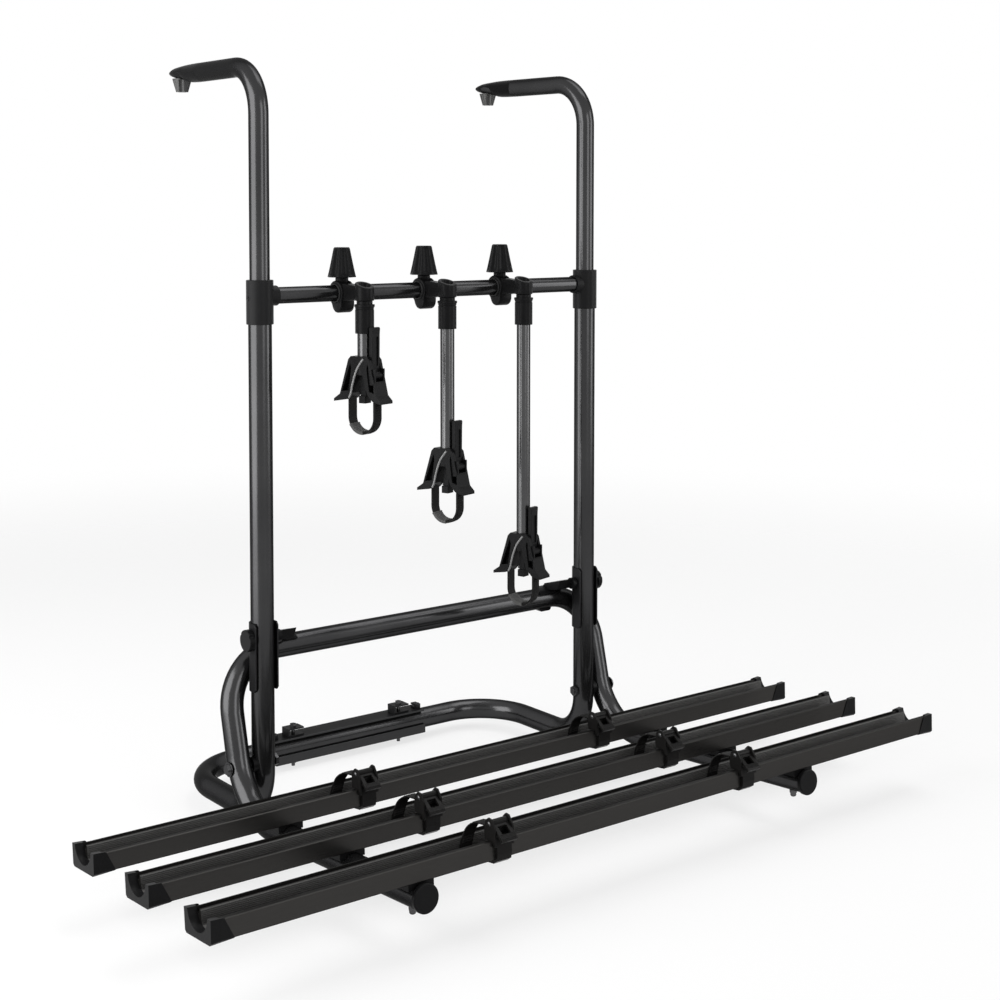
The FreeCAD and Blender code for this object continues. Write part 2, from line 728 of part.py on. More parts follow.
def rail(index):
    """Extruded wheel rail with hollow side walls, on the arms."""
    half = rail_len / 2
    body = polygon_x(rail_outline(), -half, half)
    outer = rail_w / 2 - rail_skin
    chamber = [(outer, rail_skin), (outer, rail_h - rail_skin),
               (rail_w / 2 - rail_lip + rail_skin + rib_d, rail_h - rail_skin),
               (rail_w / 2 - rail_foot + rail_skin + rib_d, rail_floor),
               (rail_w / 2 - rail_foot, rail_skin)]
    for sign in SIDES:
        hollow = [(sign * y, z) for y, z in chamber]
        body = body.cut(polygon_x(hollow, -half - 1, half + 1))
    for side in SIDES:
        body = body.cut(rod(rail_bolt_r + seat_gap, V(side * arm_x, 0, -1),
                            V(side * arm_x, 0, rail_h)))
    return tilted(moved(body, 0, rail_centre(index), rail_z))


def rail_cap():
    """Moulded end of a rail: a flared trough on a sleeve round the rail, right side."""
    half = rail_w / 2 + cap_proud
    low = -cap_proud
    high = rail_h + cap_proud * 0.5

    def section(x, grow_w, grow_h):
        points = [(-half - grow_w, high + grow_h), (-half - grow_w * 0.4, low + 3),
                  (-half + 3, low), (half - 3, low), (half + grow_w * 0.4, low + 3),
                  (half + grow_w, high + grow_h)]
        return Part.makePolygon([V(x, y, z) for y, z in points + points[:1]])

    start = cap_end - cap_low_len
    body = Part.makeLoft([section(start, 0, 0), section(cap_end, cap_flare_w, cap_flare_h)],
                         True, True)
    mouth = cap_mouth / 2
    arc_r = mouth * 0.82
    dip = cap_floor - cap_proud
    mid = dip + arc_r
    arch = Part.Wire([
        Part.Arc(V(0, -arc_r, mid), V(0, 0, dip), V(0, arc_r, mid)).toShape(),
        Part.LineSegment(V(0, arc_r, mid), V(0, mouth, rail_h * 2)).toShape(),
        Part.LineSegment(V(0, mouth, rail_h * 2), V(0, -mouth, rail_h * 2)).toShape(),
        Part.LineSegment(V(0, -mouth, rail_h * 2), V(0, -arc_r, mid)).toShape()])
    trough = Part.Face(arch).extrude(V(2 * cap_low_len, 0, 0))
    body = body.cut(moved(trough, start - cap_low_len / 2, 0, 0))
    rail_end = rail_len / 2
    grip = rail_w / 2 + seat_gap
    envelope = block(start - 1, rail_end + seat_gap, -grip, grip, -seat_gap, 3 * rail_h)
    body = body.cut(envelope)
    slant = Part.makePolygon([V(start - 1, 0, low - 1), V(start, 0, low - 1),
                              V(start + (cap_low_len - cap_top_len), 0, high),
                              V(start + (cap_low_len - cap_top_len), 0, 3 * rail_h),
                              V(start - 1, 0, 3 * rail_h), V(start - 1, 0, low - 1)])
    wedge = Part.Face(slant).extrude(V(0, 4 * rail_w, 0))
    return body.cut(moved(wedge, 0, -2 * rail_w, 0))


def rail_caps():
    """End caps of all rails."""
    caps = []
    for index in range(rail_count):
        for cap in (rail_cap(), mirrored(rail_cap())):
            caps.append(tilted(moved(cap, 0, rail_centre(index), rail_z)))
    return Part.makeCompound(caps)


def rail_saddles():
    """Moulded seats between the round arms and the flat rails."""
    seats = []
    for side in SIDES:
        x = side * arm_x
        for index in range(rail_count):
            y = rail_centre(index)
            top = -arm_drop + lower_r + rail_seat - seat_gap
            seat = block(x - saddle_len / 2, x + saddle_len / 2, y - saddle_w / 2,
                         y + saddle_w / 2, top - rail_seat - saddle_hug, top)
            seat = seat.cut(rod(lower_r + seat_gap, V(x, y - saddle_w, -arm_drop),
                                V(x, y + saddle_w, -arm_drop)))
            seat = seat.cut(rod(rail_bolt_r + seat_gap, V(x, y, -arm_drop), V(x, y, 0)))
            seats.append(tilted(seat))
    return Part.makeCompound(seats)


def rail_bolts():
    """Dome-headed bolts through rails, saddles and arms, with their nuts."""
    bolts = []
    for side in SIDES:
        x = side * arm_x
        for index in range(rail_count):
            y = rail_centre(index)
            floor = rail_z + rail_floor + seat_gap
            under = -arm_drop - lower_r - seat_gap
            shank = rod(rail_bolt_r, V(x, y, under - rail_nut_h - 1), V(x, y, floor + 1))
            head = Part.makeCone(rail_bolt_head_r, rail_bolt_head_r * 0.5, rail_bolt_head_h,
                                 V(x, y, floor))
            nut = hexagon(rail_nut_r, rail_nut_h, V(x, y, under - rail_nut_h))
            dome = rod(rail_dome_r, V(x, y, under - rail_nut_h - rail_dome_h),
                       V(x, y, under - rail_nut_h))
            tip = [edge for edge in dome.Edges
                   if len(edge.Vertexes) == 1 and edge.BoundBox.ZMax < under - rail_nut_h - 1]
            dome = dome.makeFillet(rail_dome_r * 0.7, tip)
            bolts.append(tilted(fused([shank, head, nut, dome])))
    return Part.makeCompound(bolts)


def on_rail(shape, index, x):
    """Copy of a piece drawn at a rail's front top edge, put on that rail."""
    return tilted(moved(shape, x, rail_centre(index) - rail_w / 2, rail_top))


def strap_line():
    """Centre line of a wheel strap as (y, z), from its hooked end to the buckle."""
    wall_top = rail_w - rail_lip - strap_t / 2 - seat_gap
    wall_low = wall_top - (rail_foot - rail_lip) * strap_dip / (rail_h - rail_floor)
    arch = strap_rise - strap_t / 2
    span = wall_top - strap_in[0]
    through = [(wall_low, -strap_dip), (wall_top - 0.35, 0.0),
               (wall_top - span * 0.07, arch * 0.65), (wall_top - span * 0.34, arch),
               (wall_top - span * 0.72, arch * 0.95), strap_in]
    curve = Part.BSplineCurve()
    curve.interpolate([V(0, y, z) for y, z in through])
    points = curve.discretize(strap_steps)
    return [(p.y, p.z) for p in points] + [strap_end]


def wheel_strap():
    """Toothed band arching from inside the rear wall to the buckle."""
    line = strap_line()
    wires = []
    for i, (y, z) in enumerate(line):
        before = line[max(i - 1, 0)]
        after = line[min(i + 1, len(line) - 1)]
        run = V(0, after[0] - before[0], after[1] - before[1]).normalize()
        normal = V(0, -run.z, run.y) * (strap_t / 2)
        across = V(strap_w / 2, 0, 0)
        point = V(-strap_shift * max(0, 1 - i / (len(line) - 3)), y, z)
        ring = [point - across - normal, point + across - normal,
                point + across + normal, point - across + normal]
        wires.append(Part.makePolygon(ring + ring[:1]))
    return Part.makeLoft(wires, True, True)


def strap_buckle():
    """Buckle body: bulged plate down the rail's front, foot under it, and two cheeks."""
    face = -seat_gap
    low = -rail_h - seat_gap
    half = plate_w / 2
    plate = polygon_x([(face, 6), (face - plate_t, 6), (face - plate_t - 0.5, 0),
                       (face - plate_t - plate_bulge, -8), (face - plate_t - plate_bulge, -18),
                       (face - plate_t - 1, low - 1), (face + 4, low - foot_plate_t + 1),
                       (plate_foot - 9, low - foot_plate_t), (plate_foot, low - foot_plate_t + 2),
                       (plate_foot, low), (face, low)], -half, half)
    outline = [(-buckle_front + 1, -buckle_down), (face, -buckle_down), (face, seat_gap),
               (buckle_back, seat_gap), (buckle_back + 1, buckle_up * 0.4),
               (buckle_back - 2, buckle_up * 0.82), (buckle_back * 0.5, buckle_up),
               (buckle_back * 0.1, buckle_up * 0.97), (-buckle_front + 1, buckle_up * 0.6),
               (-buckle_front, buckle_up * 0.15)]
    cheeks = []
    for side in SIDES:
        x0 = side * cheek_in
        x1 = side * (cheek_in + cheek_t)
        cheeks.append(polygon_x(outline, min(x0, x1), max(x0, x1)))
    under = strap_t / 2 + seat_gap
    bed = polygon_x([(-buckle_front + 1, -buckle_down), (face, -buckle_down), (face, seat_gap),
                     (buckle_back, seat_gap), (buckle_back, strap_in[1] - under - 1.6),
                     (strap_in[0] - 0.6, strap_in[1] - under - 1.0),
                     (strap_end[0], strap_end[1] - under - 0.45),
                     (-buckle_front + 2, strap_end[1] - under - 2.4)],
                    -cheek_in - 1, cheek_in + 1)
    pin = rod(lever_pin_r, V(-cheek_in - 1, lever_pin_y, lever_pin_z),
              V(cheek_in + 1, lever_pin_y, lever_pin_z))
    return fused([plate, bed, pin] + cheeks)


def strap_lever():
    """Ratchet lever of a wheel strap, closed over its buckle."""
    half = lever_w / 2
    hub = Part.makeCylinder(lever_hub_r, lever_w, V(-half, 0, 0), X_AXIS)
    hand = polygon_x([(-lever_t / 2, 0), (-lever_t / 2, lever_len - 3), (-lever_t, lever_len),
                      (lever_t * 0.4, lever_len + 1.2), (lever_t / 2 + 0.6, lever_len - 3),
                      (lever_t / 2, 0)], -half, half)
    window = block(-half * 0.55, half * 0.55, -lever_t, lever_t, lever_hub_r + 3,
                   lever_len - 9)
    body = fused([hub, hand]).cut(window)
    body = body.cut(rod(lever_pin_r + pin_gap, V(-lever_w, 0, 0), V(lever_w, 0, 0)))
    return moved(turned(body, lever_lean_deg, X_AXIS), 0, lever_pin_y, lever_pin_z)


def holder_liner(x):
    """Plastic bush between the crossbar and a holder's clamp."""
    start = V(x - liner_len / 2, post_y, crossbar_z)
    end = V(x + liner_len / 2, post_y, crossbar_z)
    return pipe(liner_r, crossbar_r + slide_gap, start, end)


def holder_clamp(x):
    """Moulded clamp round the crossbar with the neck and the arm's boss."""
    start = V(x - clamp_len / 2, post_y, crossbar_z)
    end = V(x + clamp_len / 2, post_y, crossbar_z)
    ring = rod(clamp_r, start, end)
    rims = [edge for edge in ring.Edges if edge.Length > clamp_r and len(edge.Vertexes) == 1]
    ring = ring.makeFillet(2.0, rims)
    neck = rod(neck_r, V(x, post_y, crossbar_z), V(x, post_y, crossbar_z + neck_top))
    boss_y = holder_y
    low = crossbar_z - boss_low
    boss = rod(boss_r, V(x, boss_y, low), V(x, boss_y, crossbar_z + boss_back_top))
    z = crossbar_z
    slope = [(boss_y - boss_r - 1, z + boss_front_top), (boss_y + boss_r, z + boss_back_top),
             (boss_y + boss_r, z + 2 * boss_back_top), (boss_y - boss_r - 1, z + 2 * boss_back_top)]
    boss = boss.cut(polygon_x(slope, x - 2 * boss_r, x + 2 * boss_r))
    bridge = polygon_x([(post_y - 6, z + clamp_r - 1), (post_y - 16, z + clamp_r - 1),
                        (boss_y + boss_r, z + boss_back_top - 5), (boss_y, z + boss_back_top - 8),
                        (boss_y, low), (boss_y + boss_r + 6, low), (post_y - 8, z - clamp_r + 2)],
                       x - neck_r, x + neck_r)
    body = fused([ring, neck, boss, bridge])
    body = body.cut(rod(clamp_bore_r, start - V(1, 0, 0), end + V(1, 0, 0)))
    body = body.cut(rod(boss_recess_r, V(x, boss_y, low + boss_floor),
                        V(x, boss_y, z + 2 * boss_back_top)))
    body = body.cut(rod(arm_bolt_r + pin_gap, V(x, boss_y, low - 1), V(x, boss_y, z)))
    body = body.cut(block(x - clamp_len, x + clamp_len, post_y, post_y + 2 * clamp_r,
                          z - clamp_slit / 2, z + clamp_slit / 2))
    stud_low = z + clamp_bore_r + 1.5
    return body.cut(rod(knob_stud_r + pin_gap, V(x, post_y, stud_low),
                        V(x, post_y, z + 2 * neck_top)))


def holder_knob(x):
    """Fluted grip that tightens a holder on the crossbar, with its stud."""
    grip = fluted(knob_low_r, knob_top_r, knob_h, knob_flutes, flute_r, 2.6, knob_skirt)
    top = [edge for edge in grip.Edges if edge.BoundBox.ZMin > knob_h - 0.01]
    if top:
        grip = grip.makeChamfer(1.0, top)
    stud = Part.makeCylinder(knob_stud_r, knob_stud_len + 1, V(0, 0, -knob_stud_len))
    return moved(fused([grip, stud]), x, post_y, crossbar_z + neck_top + slide_gap)


def holder_arm(x, drop):
    """Arm tube of a holder with the bolt that hangs it in the boss."""
    low = crossbar_z - boss_low
    top = crossbar_z - collar_low + arm_insert
    tube = pipe(arm_r, arm_r - arm_wall, V(x, holder_y, crossbar_z - drop - arm_in_jaw),
                V(x, holder_y, top))
    head_z = low + boss_floor + slide_gap
    head = Part.makeCylinder(arm_bolt_head_r, arm_bolt_head_h, V(x, holder_y, head_z))
    head = head.cut(hexagon(3.0, 4.0, V(x, holder_y, head_z + arm_bolt_head_h - 4.0)))
    shank = rod(arm_bolt_r, V(x, holder_y, top + 1), V(x, holder_y, head_z + 1))
    return Part.makeCompound([tube, fused([head, shank])])


def holder_collar(x):
    """Moulded collar between a holder's boss and its arm tube."""
    top = crossbar_z - boss_low - slide_gap
    flange_top = top - washer_t
    low = crossbar_z - collar_low
    washer = rod(washer_r, V(x, holder_y, flange_top - 1), V(x, holder_y, top))
    flange = rod(collar_flange_r, V(x, holder_y, flange_top - collar_flange_t),
                 V(x, holder_y, flange_top))
    barrel = rod(collar_r, V(x, holder_y, low), V(x, holder_y, flange_top))
    groove_z = flange_top - collar_flange_t - 4
    groove = pipe(collar_r + 1, collar_r - 0.8, V(x, holder_y, groove_z),
                  V(x, holder_y, groove_z + 1.2))
    body = fused([washer, flange, barrel]).cut(groove)
    body = body.cut(rod(arm_r + seat_gap, V(x, holder_y, low - 1),
                        V(x, holder_y, low + arm_insert + seat_gap)))
    return body.cut(rod(arm_bolt_r + seat_gap, V(x, holder_y, low), V(x, holder_y, top + 1)))


def jaw():
    """Inverted-V jaw in its own frame: arm axis on Z, jaw top at z = 0, near side at -Y."""
    half_w = jaw_w / 2

    def cheek(sign, low, foot):
        outline = [(jaw_top_half - 5, 0), (jaw_top_half, -5), (low, -jaw_h),
                   (foot, -foot_drop + foot_t - 3), (foot, -foot_drop),
                   (jaw_gate_half + 10, -foot_drop + 4), (jaw_gate_half, -jaw_h + 2),
                   (4, -jaw_socket_r - 4), (-1, -jaw_socket_r), (-1, 0)]
        shape = polygon_x([(sign * y, z) for y, z in outline], -half_w, half_w)
        pocket = [(jaw_top_half - 4, -6 - jaw_rim), (low - jaw_rim, -jaw_h + jaw_rim),
                  (jaw_gate_half + jaw_rim, -jaw_h + jaw_rim + 2),
                  (jaw_socket_r + 1, -14 - jaw_rim)]
        for x0, x1 in ((-half_w - 1, -jaw_web / 2), (jaw_web / 2, half_w + 1)):
            shape = shape.cut(polygon_x([(sign * y, z) for y, z in pocket], x0, x1))
        return shape

    far = cheek(1, jaw_far, foot_far)
    near = cheek(-1, jaw_near, foot_near)
    hub = rod(jaw_socket_r, V(0, 0, -arm_in_jaw - 6), V(0, 0, 0))
    tooth = block(-tooth_w / 2, tooth_w / 2, -tooth_half, tooth_half, -tooth_low, -tooth_low + 11)
    stem = block(-4, 4, -5, 5, -tooth_low + 10, -arm_in_jaw)
    housing = block(-ratchet_w / 2, ratchet_w / 2, -ratchet_out, -jaw_socket_r,
                    -ratchet_low, -ratchet_top)
    body = fused([far, near, hub, tooth, stem, housing])
    body = body.cut(rod(arm_r + seat_gap, V(0, 0, -arm_in_jaw - seat_gap), V(0, 0, 10)))
    recess = block(-hand_w / 2 - slide_gap, hand_w / 2 + slide_gap, -2 * ratchet_out,
                   -hand_in + slide_gap, -ratchet_low + 5, 10)
    body = body.cut(recess)
    pin = rod(hand_pin_r, V(-hand_w / 2 - 2, -hand_pin_out, -hand_pin_drop),
              V(hand_w / 2 + 2, -hand_pin_out, -hand_pin_drop))
    body = body.fuse(pin)
    slot = block(-half_w - 1, half_w + 1, -jaw_near + 5, -jaw_near + 5 + slot_w,
                 -jaw_h + 4, -jaw_h + 4 + slot_h)
    body = body.cut(slot)
    for sign in SIDES:
        limb = sign * (loop_r - loop_t / 2)
        body = body.cut(block(-loop_w / 2 - seat_gap, loop_w / 2 + seat_gap,
                              limb - loop_t / 2 - seat_gap, limb + loop_t / 2 + seat_gap,
                              -foot_drop - 1, -foot_drop + 4 + loop_in + seat_gap))
    return body.removeSplitter()


def jaw_strap():
    """Strap loop under the jaw with its thick rubber sleeve."""
    centre = -loop_low + loop_r
    top = -foot_drop + 4 + loop_in
    inner = loop_r - loop_t

    def u_shape(out, within, cut_top):
        arc_out = Part.Arc(V(0, -out, centre), V(0, 0, centre - out), V(0, out, centre)).toShape()
        arc_in = Part.Arc(V(0, within, centre), V(0, 0, centre - within),
                          V(0, -within, centre)).toShape()
        edges = [arc_out,
                 Part.LineSegment(V(0, out, centre), V(0, out, cut_top)).toShape(),
                 Part.LineSegment(V(0, out, cut_top), V(0, within, cut_top)).toShape(),
                 Part.LineSegment(V(0, within, cut_top), V(0, within, centre)).toShape(),
                 arc_in,
                 Part.LineSegment(V(0, -within, centre), V(0, -within, cut_top)).toShape(),
                 Part.LineSegment(V(0, -within, cut_top), V(0, -out, cut_top)).toShape(),
                 Part.LineSegment(V(0, -out, cut_top), V(0, -out, centre)).toShape()]
        return Part.Face(Part.Wire(edges))

    band = u_shape(loop_r, inner, top).extrude(V(loop_w, 0, 0))
    band = moved(band, -loop_w / 2, 0, 0)
    sleeve_w = loop_w + sleeve_more
    pad = u_shape(loop_r + sleeve_t * 0.2, inner - sleeve_t, centre + 4).extrude(V(sleeve_w, 0, 0))
    pad = moved(pad, -sleeve_w / 2, 0, 0)
    keep = polygon_x([(loop_r + 9, centre - 6), (loop_r + 9, centre - 2 * loop_r),
                      (-loop_r * 0.72, centre - 2 * loop_r), (-4, centre)],
                     -sleeve_w, sleeve_w)
    return fused([band, pad.common(keep)])


def jaw_lever():
    """Tall ratchet lever on the jaw's near side, closed along the arm."""
    half = hand_w / 2
    hub = Part.makeCylinder(hand_pin_r + 2.8, hand_w, V(-half, -hand_pin_out, -hand_pin_drop),
                            X_AXIS)
    top = hand_len - hand_pin_drop
    back = -hand_in
    grip = polygon_x([(back, -hand_pin_drop), (back, top - 1), (back - 1, top),
                      (back - hand_t, top), (back - hand_t - 1.2, top - 2),
                      (back - hand_t - 0.6, top - 10), (back - hand_t, -hand_pin_drop)],
                     -half, half)
    groove = block(-half + 4, half - 4, back - hand_t - 2, back - hand_t + 1.5,
                   -hand_pin_drop + 14, top - 14)
    body = fused([hub, grip]).cut(groove)
    return body.cut(rod(hand_pin_r + pin_gap, V(-hand_w, -hand_pin_out, -hand_pin_drop),
                        V(hand_w, -hand_pin_out, -hand_pin_drop)))


def on_arm(shape, x, drop):
    """Copy of a jaw piece hung on a holder's arm and turned with it."""
    return moved(turned(shape, holder_turn_deg), x, holder_y, crossbar_z - drop)


def save(name, shape):
    """Write one node."""
    shape.exportStep(os.path.join("parts", name + ".step"))
    print(name, len(shape.Solids), round(shape.Volume), shape.isValid())


def main():
    os.makedirs("parts", exist_ok=True)
    save("lower_frame_tube", lower_frame_tube())
    save("sleeves", sides(sleeve()))
    save("crossbar", crossbar())
    save("sleeve_screws", sides(sleeve_screw()))
    save("wall_profile", wall_profile())
    clips = [wall_clip(side * profile_bolt_x) for side in SIDES]
    save("wall_clips", Part.makeCompound(clips + [end_clip(), mirrored(end_clip())]))
    save("wall_bolts", Part.makeCompound([wall_bolt(s * profile_bolt_x) for s in SIDES]))
    save("post_brackets", sides(post_bracket()))
    save("pivot_bolts", sides(pivot_bolt()))
    save("pivot_spacers", sides(pivot_spacer()))
    for name, shape in (("latch_lever", latch()), ("hook_tube", hook_tube()),
                        ("hook_knob", hook_knob())):
        save("right_" + name, shape)
        save("left_" + name, mirrored(shape))
    save("platform_tube", platform_tube())
    save("arm_end_caps", sides(arm_end_cap()))
    save("bar_pad", bar_pad())
    save("rail_end_caps", rail_caps())
    save("rail_saddles", rail_saddles())
    save("rail_bolts", rail_bolts())
    buckles = []
    for index, place in enumerate(("rear", "middle", "front")):
        save(place + "_rail", rail(index))
        straps = [on_rail(wheel_strap(), index, x) for x in strap_xs]
        save(place + "_wheel_straps", Part.makeCompound(straps))
        for side, x in zip(("left", "right"), strap_xs):
            buckles.append(on_rail(strap_buckle(), index, x))
            save(place + "_" + side + "_strap_lever", on_rail(strap_lever(), index, x))
    save("strap_buckles", Part.makeCompound(buckles))
    for number, (x, drop) in enumerate(zip(holder_xs, jaw_drops), 1):
        prefix = "holder_%d_" % number
        save(prefix + "liner", holder_liner(x))
        save(prefix + "clamp", holder_clamp(x))
        save(prefix + "knob", holder_knob(x))
        save(prefix + "arm", holder_arm(x, drop))
        save(prefix + "collar", holder_collar(x))
        save(prefix + "jaw", on_arm(jaw(), x, drop))
        save(prefix + "strap", on_arm(jaw_strap(), x, drop))
        save(prefix + "lever", on_arm(jaw_lever(), x, drop))


main()
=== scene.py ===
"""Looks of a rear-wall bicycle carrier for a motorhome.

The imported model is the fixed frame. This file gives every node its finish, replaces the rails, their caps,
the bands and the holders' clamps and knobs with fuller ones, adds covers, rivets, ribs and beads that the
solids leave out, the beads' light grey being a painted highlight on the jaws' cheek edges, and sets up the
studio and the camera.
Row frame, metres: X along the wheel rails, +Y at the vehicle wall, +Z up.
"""
import json
import logging
import math
from dataclasses import dataclass
from enum import Enum
from typing import Any, Sequence

import bmesh
import bpy
from mathutils import Matrix, Vector


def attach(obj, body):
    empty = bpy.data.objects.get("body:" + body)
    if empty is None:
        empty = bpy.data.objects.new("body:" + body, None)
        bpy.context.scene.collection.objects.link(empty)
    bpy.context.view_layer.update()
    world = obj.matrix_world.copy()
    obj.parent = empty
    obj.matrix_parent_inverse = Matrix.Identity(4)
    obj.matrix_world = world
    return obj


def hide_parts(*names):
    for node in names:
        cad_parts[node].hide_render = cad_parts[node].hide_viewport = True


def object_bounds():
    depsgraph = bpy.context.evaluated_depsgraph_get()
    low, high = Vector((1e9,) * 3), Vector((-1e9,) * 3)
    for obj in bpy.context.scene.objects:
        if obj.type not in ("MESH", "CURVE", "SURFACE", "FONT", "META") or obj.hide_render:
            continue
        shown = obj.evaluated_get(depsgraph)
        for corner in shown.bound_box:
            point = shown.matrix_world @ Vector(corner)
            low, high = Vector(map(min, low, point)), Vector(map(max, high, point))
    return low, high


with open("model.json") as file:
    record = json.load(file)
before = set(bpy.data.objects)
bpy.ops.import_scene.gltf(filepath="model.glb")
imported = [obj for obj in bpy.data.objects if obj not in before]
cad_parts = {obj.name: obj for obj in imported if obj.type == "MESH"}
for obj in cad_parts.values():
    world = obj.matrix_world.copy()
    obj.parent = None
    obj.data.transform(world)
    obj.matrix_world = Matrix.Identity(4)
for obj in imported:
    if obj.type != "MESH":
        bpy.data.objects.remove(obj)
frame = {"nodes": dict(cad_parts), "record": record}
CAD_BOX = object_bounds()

LOG = logging.getLogger("bike_carrier")
MM = 0.001
Point = tuple[float, float]
Point3 = tuple[float, float, float]
Socket = bpy.types.NodeSocket
Value = Socket | float | tuple[float, ...]
FULL_TURN = 2 * math.pi
ACROSS = Vector((1, 0, 0))
WHITE = (1.0, 1.0, 1.0, 1.0)
NOISE_SPAN = (0.3, 0.7)
RAMP_SPAN = (0.32, 0.68)
SHARP = math.radians(35.0)
SOFT_EDGE = 0.4 * MM
DRAWN_STRETCH = 0.02
BUMP_STRENGTH = 0.5
PEBBLE_SMOOTHNESS = 0.6
# Relief of the grains: noise as cells for each grain size and octaves, pebbles as cells for each grain size.
PLAIN_NOISE = (1.0, 3.0)
MOULDED_NOISE = (2.5, 2.0)
MOULDED_PEBBLES = 1.0
MOULDED_SHARE = 0.4
RUBBER_NOISE = (1.5, 3.0)
RUBBER_PEBBLES = 0.7
RUBBER_SHARE = 0.3
HOLDERS = (1, 2, 3)


def mm(*values: float) -> tuple[Any, ...]:
    """Values given in millimetres, in metres."""
    return tuple(value * MM for value in values)


class Place(Enum):
    """Which wheel rail, counted from the vehicle."""

    REAR = 0
    MIDDLE = 1
    FRONT = 2


class Hand(Enum):
    """Which side of the middle plane, seen from behind the vehicle."""

    LEFT = -1
    RIGHT = 1


class Grain(Enum):
    """How a finish breaks up the light."""

    POWDER = "powder"
    DRAWN = "drawn"
    MOULDED = "moulded"
    RUBBER = "rubber"
    PLATED = "plated"


@dataclass(frozen=True)
class Finish:
    """A procedural finish: its base colour, its second colour, its gloss and its grain.

    All colours are linear. A plain number stands on the shader's own socket.
    """

    name: str
    colour: Point3
    second: Point3
    roughness: float
    grain: Grain
    metallic: float = 0.0
    specular: float = 0.4
    edge: float = 1.0
    relief: float = 0.00004
    grain_size: float = 0.0012
    spread: float = 0.06
    cloud: float = 9.0
    octaves: Point = (3.0, 2.0)
    fine_share: float = 0.35

    def material(self) -> bpy.types.Material:
        """Build the finish once.

        Returns:
            The material, taken from the file if it is there already.
        """
        title = f"finish_{self.name}"
        found = bpy.data.materials.get(title)
        if found is not None:
            return found
        made = bpy.data.materials.new(title)
        made.use_nodes = True
        made.diffuse_color = (*self.colour, 1.0)
        book = NodeBook(made.node_tree)
        where = book.object_space(self.stretch())
        broad = book.noise(where, self.cloud, self.octaves[0])
        fine = book.noise(where, 1.0 / self.grain_size, self.octaves[1])
        tone = book.blend_value(broad, fine, self.fine_share)
        height = book.height_of(self.grain, where, self.grain_size)
        book.fill(made.node_tree.nodes["Principled BSDF"], {
            "Metallic": self.metallic,
            "Specular IOR Level": self.specular,
            "Specular Tint": (self.edge, self.edge, self.edge, 1.0),
            "Base Color": book.ramp_colour(tone, self.colour, self.second),
            "Roughness": book.remap(tone, self.roughness - self.spread, self.roughness + self.spread),
            "Normal": book.bump(height, self.relief),
        })
        return made

    def stretch(self) -> Point3:
        """Scale of the texture space: drawn metal is long along X."""
        return (DRAWN_STRETCH if self.grain is Grain.DRAWN else 1.0, 1.0, 1.0)


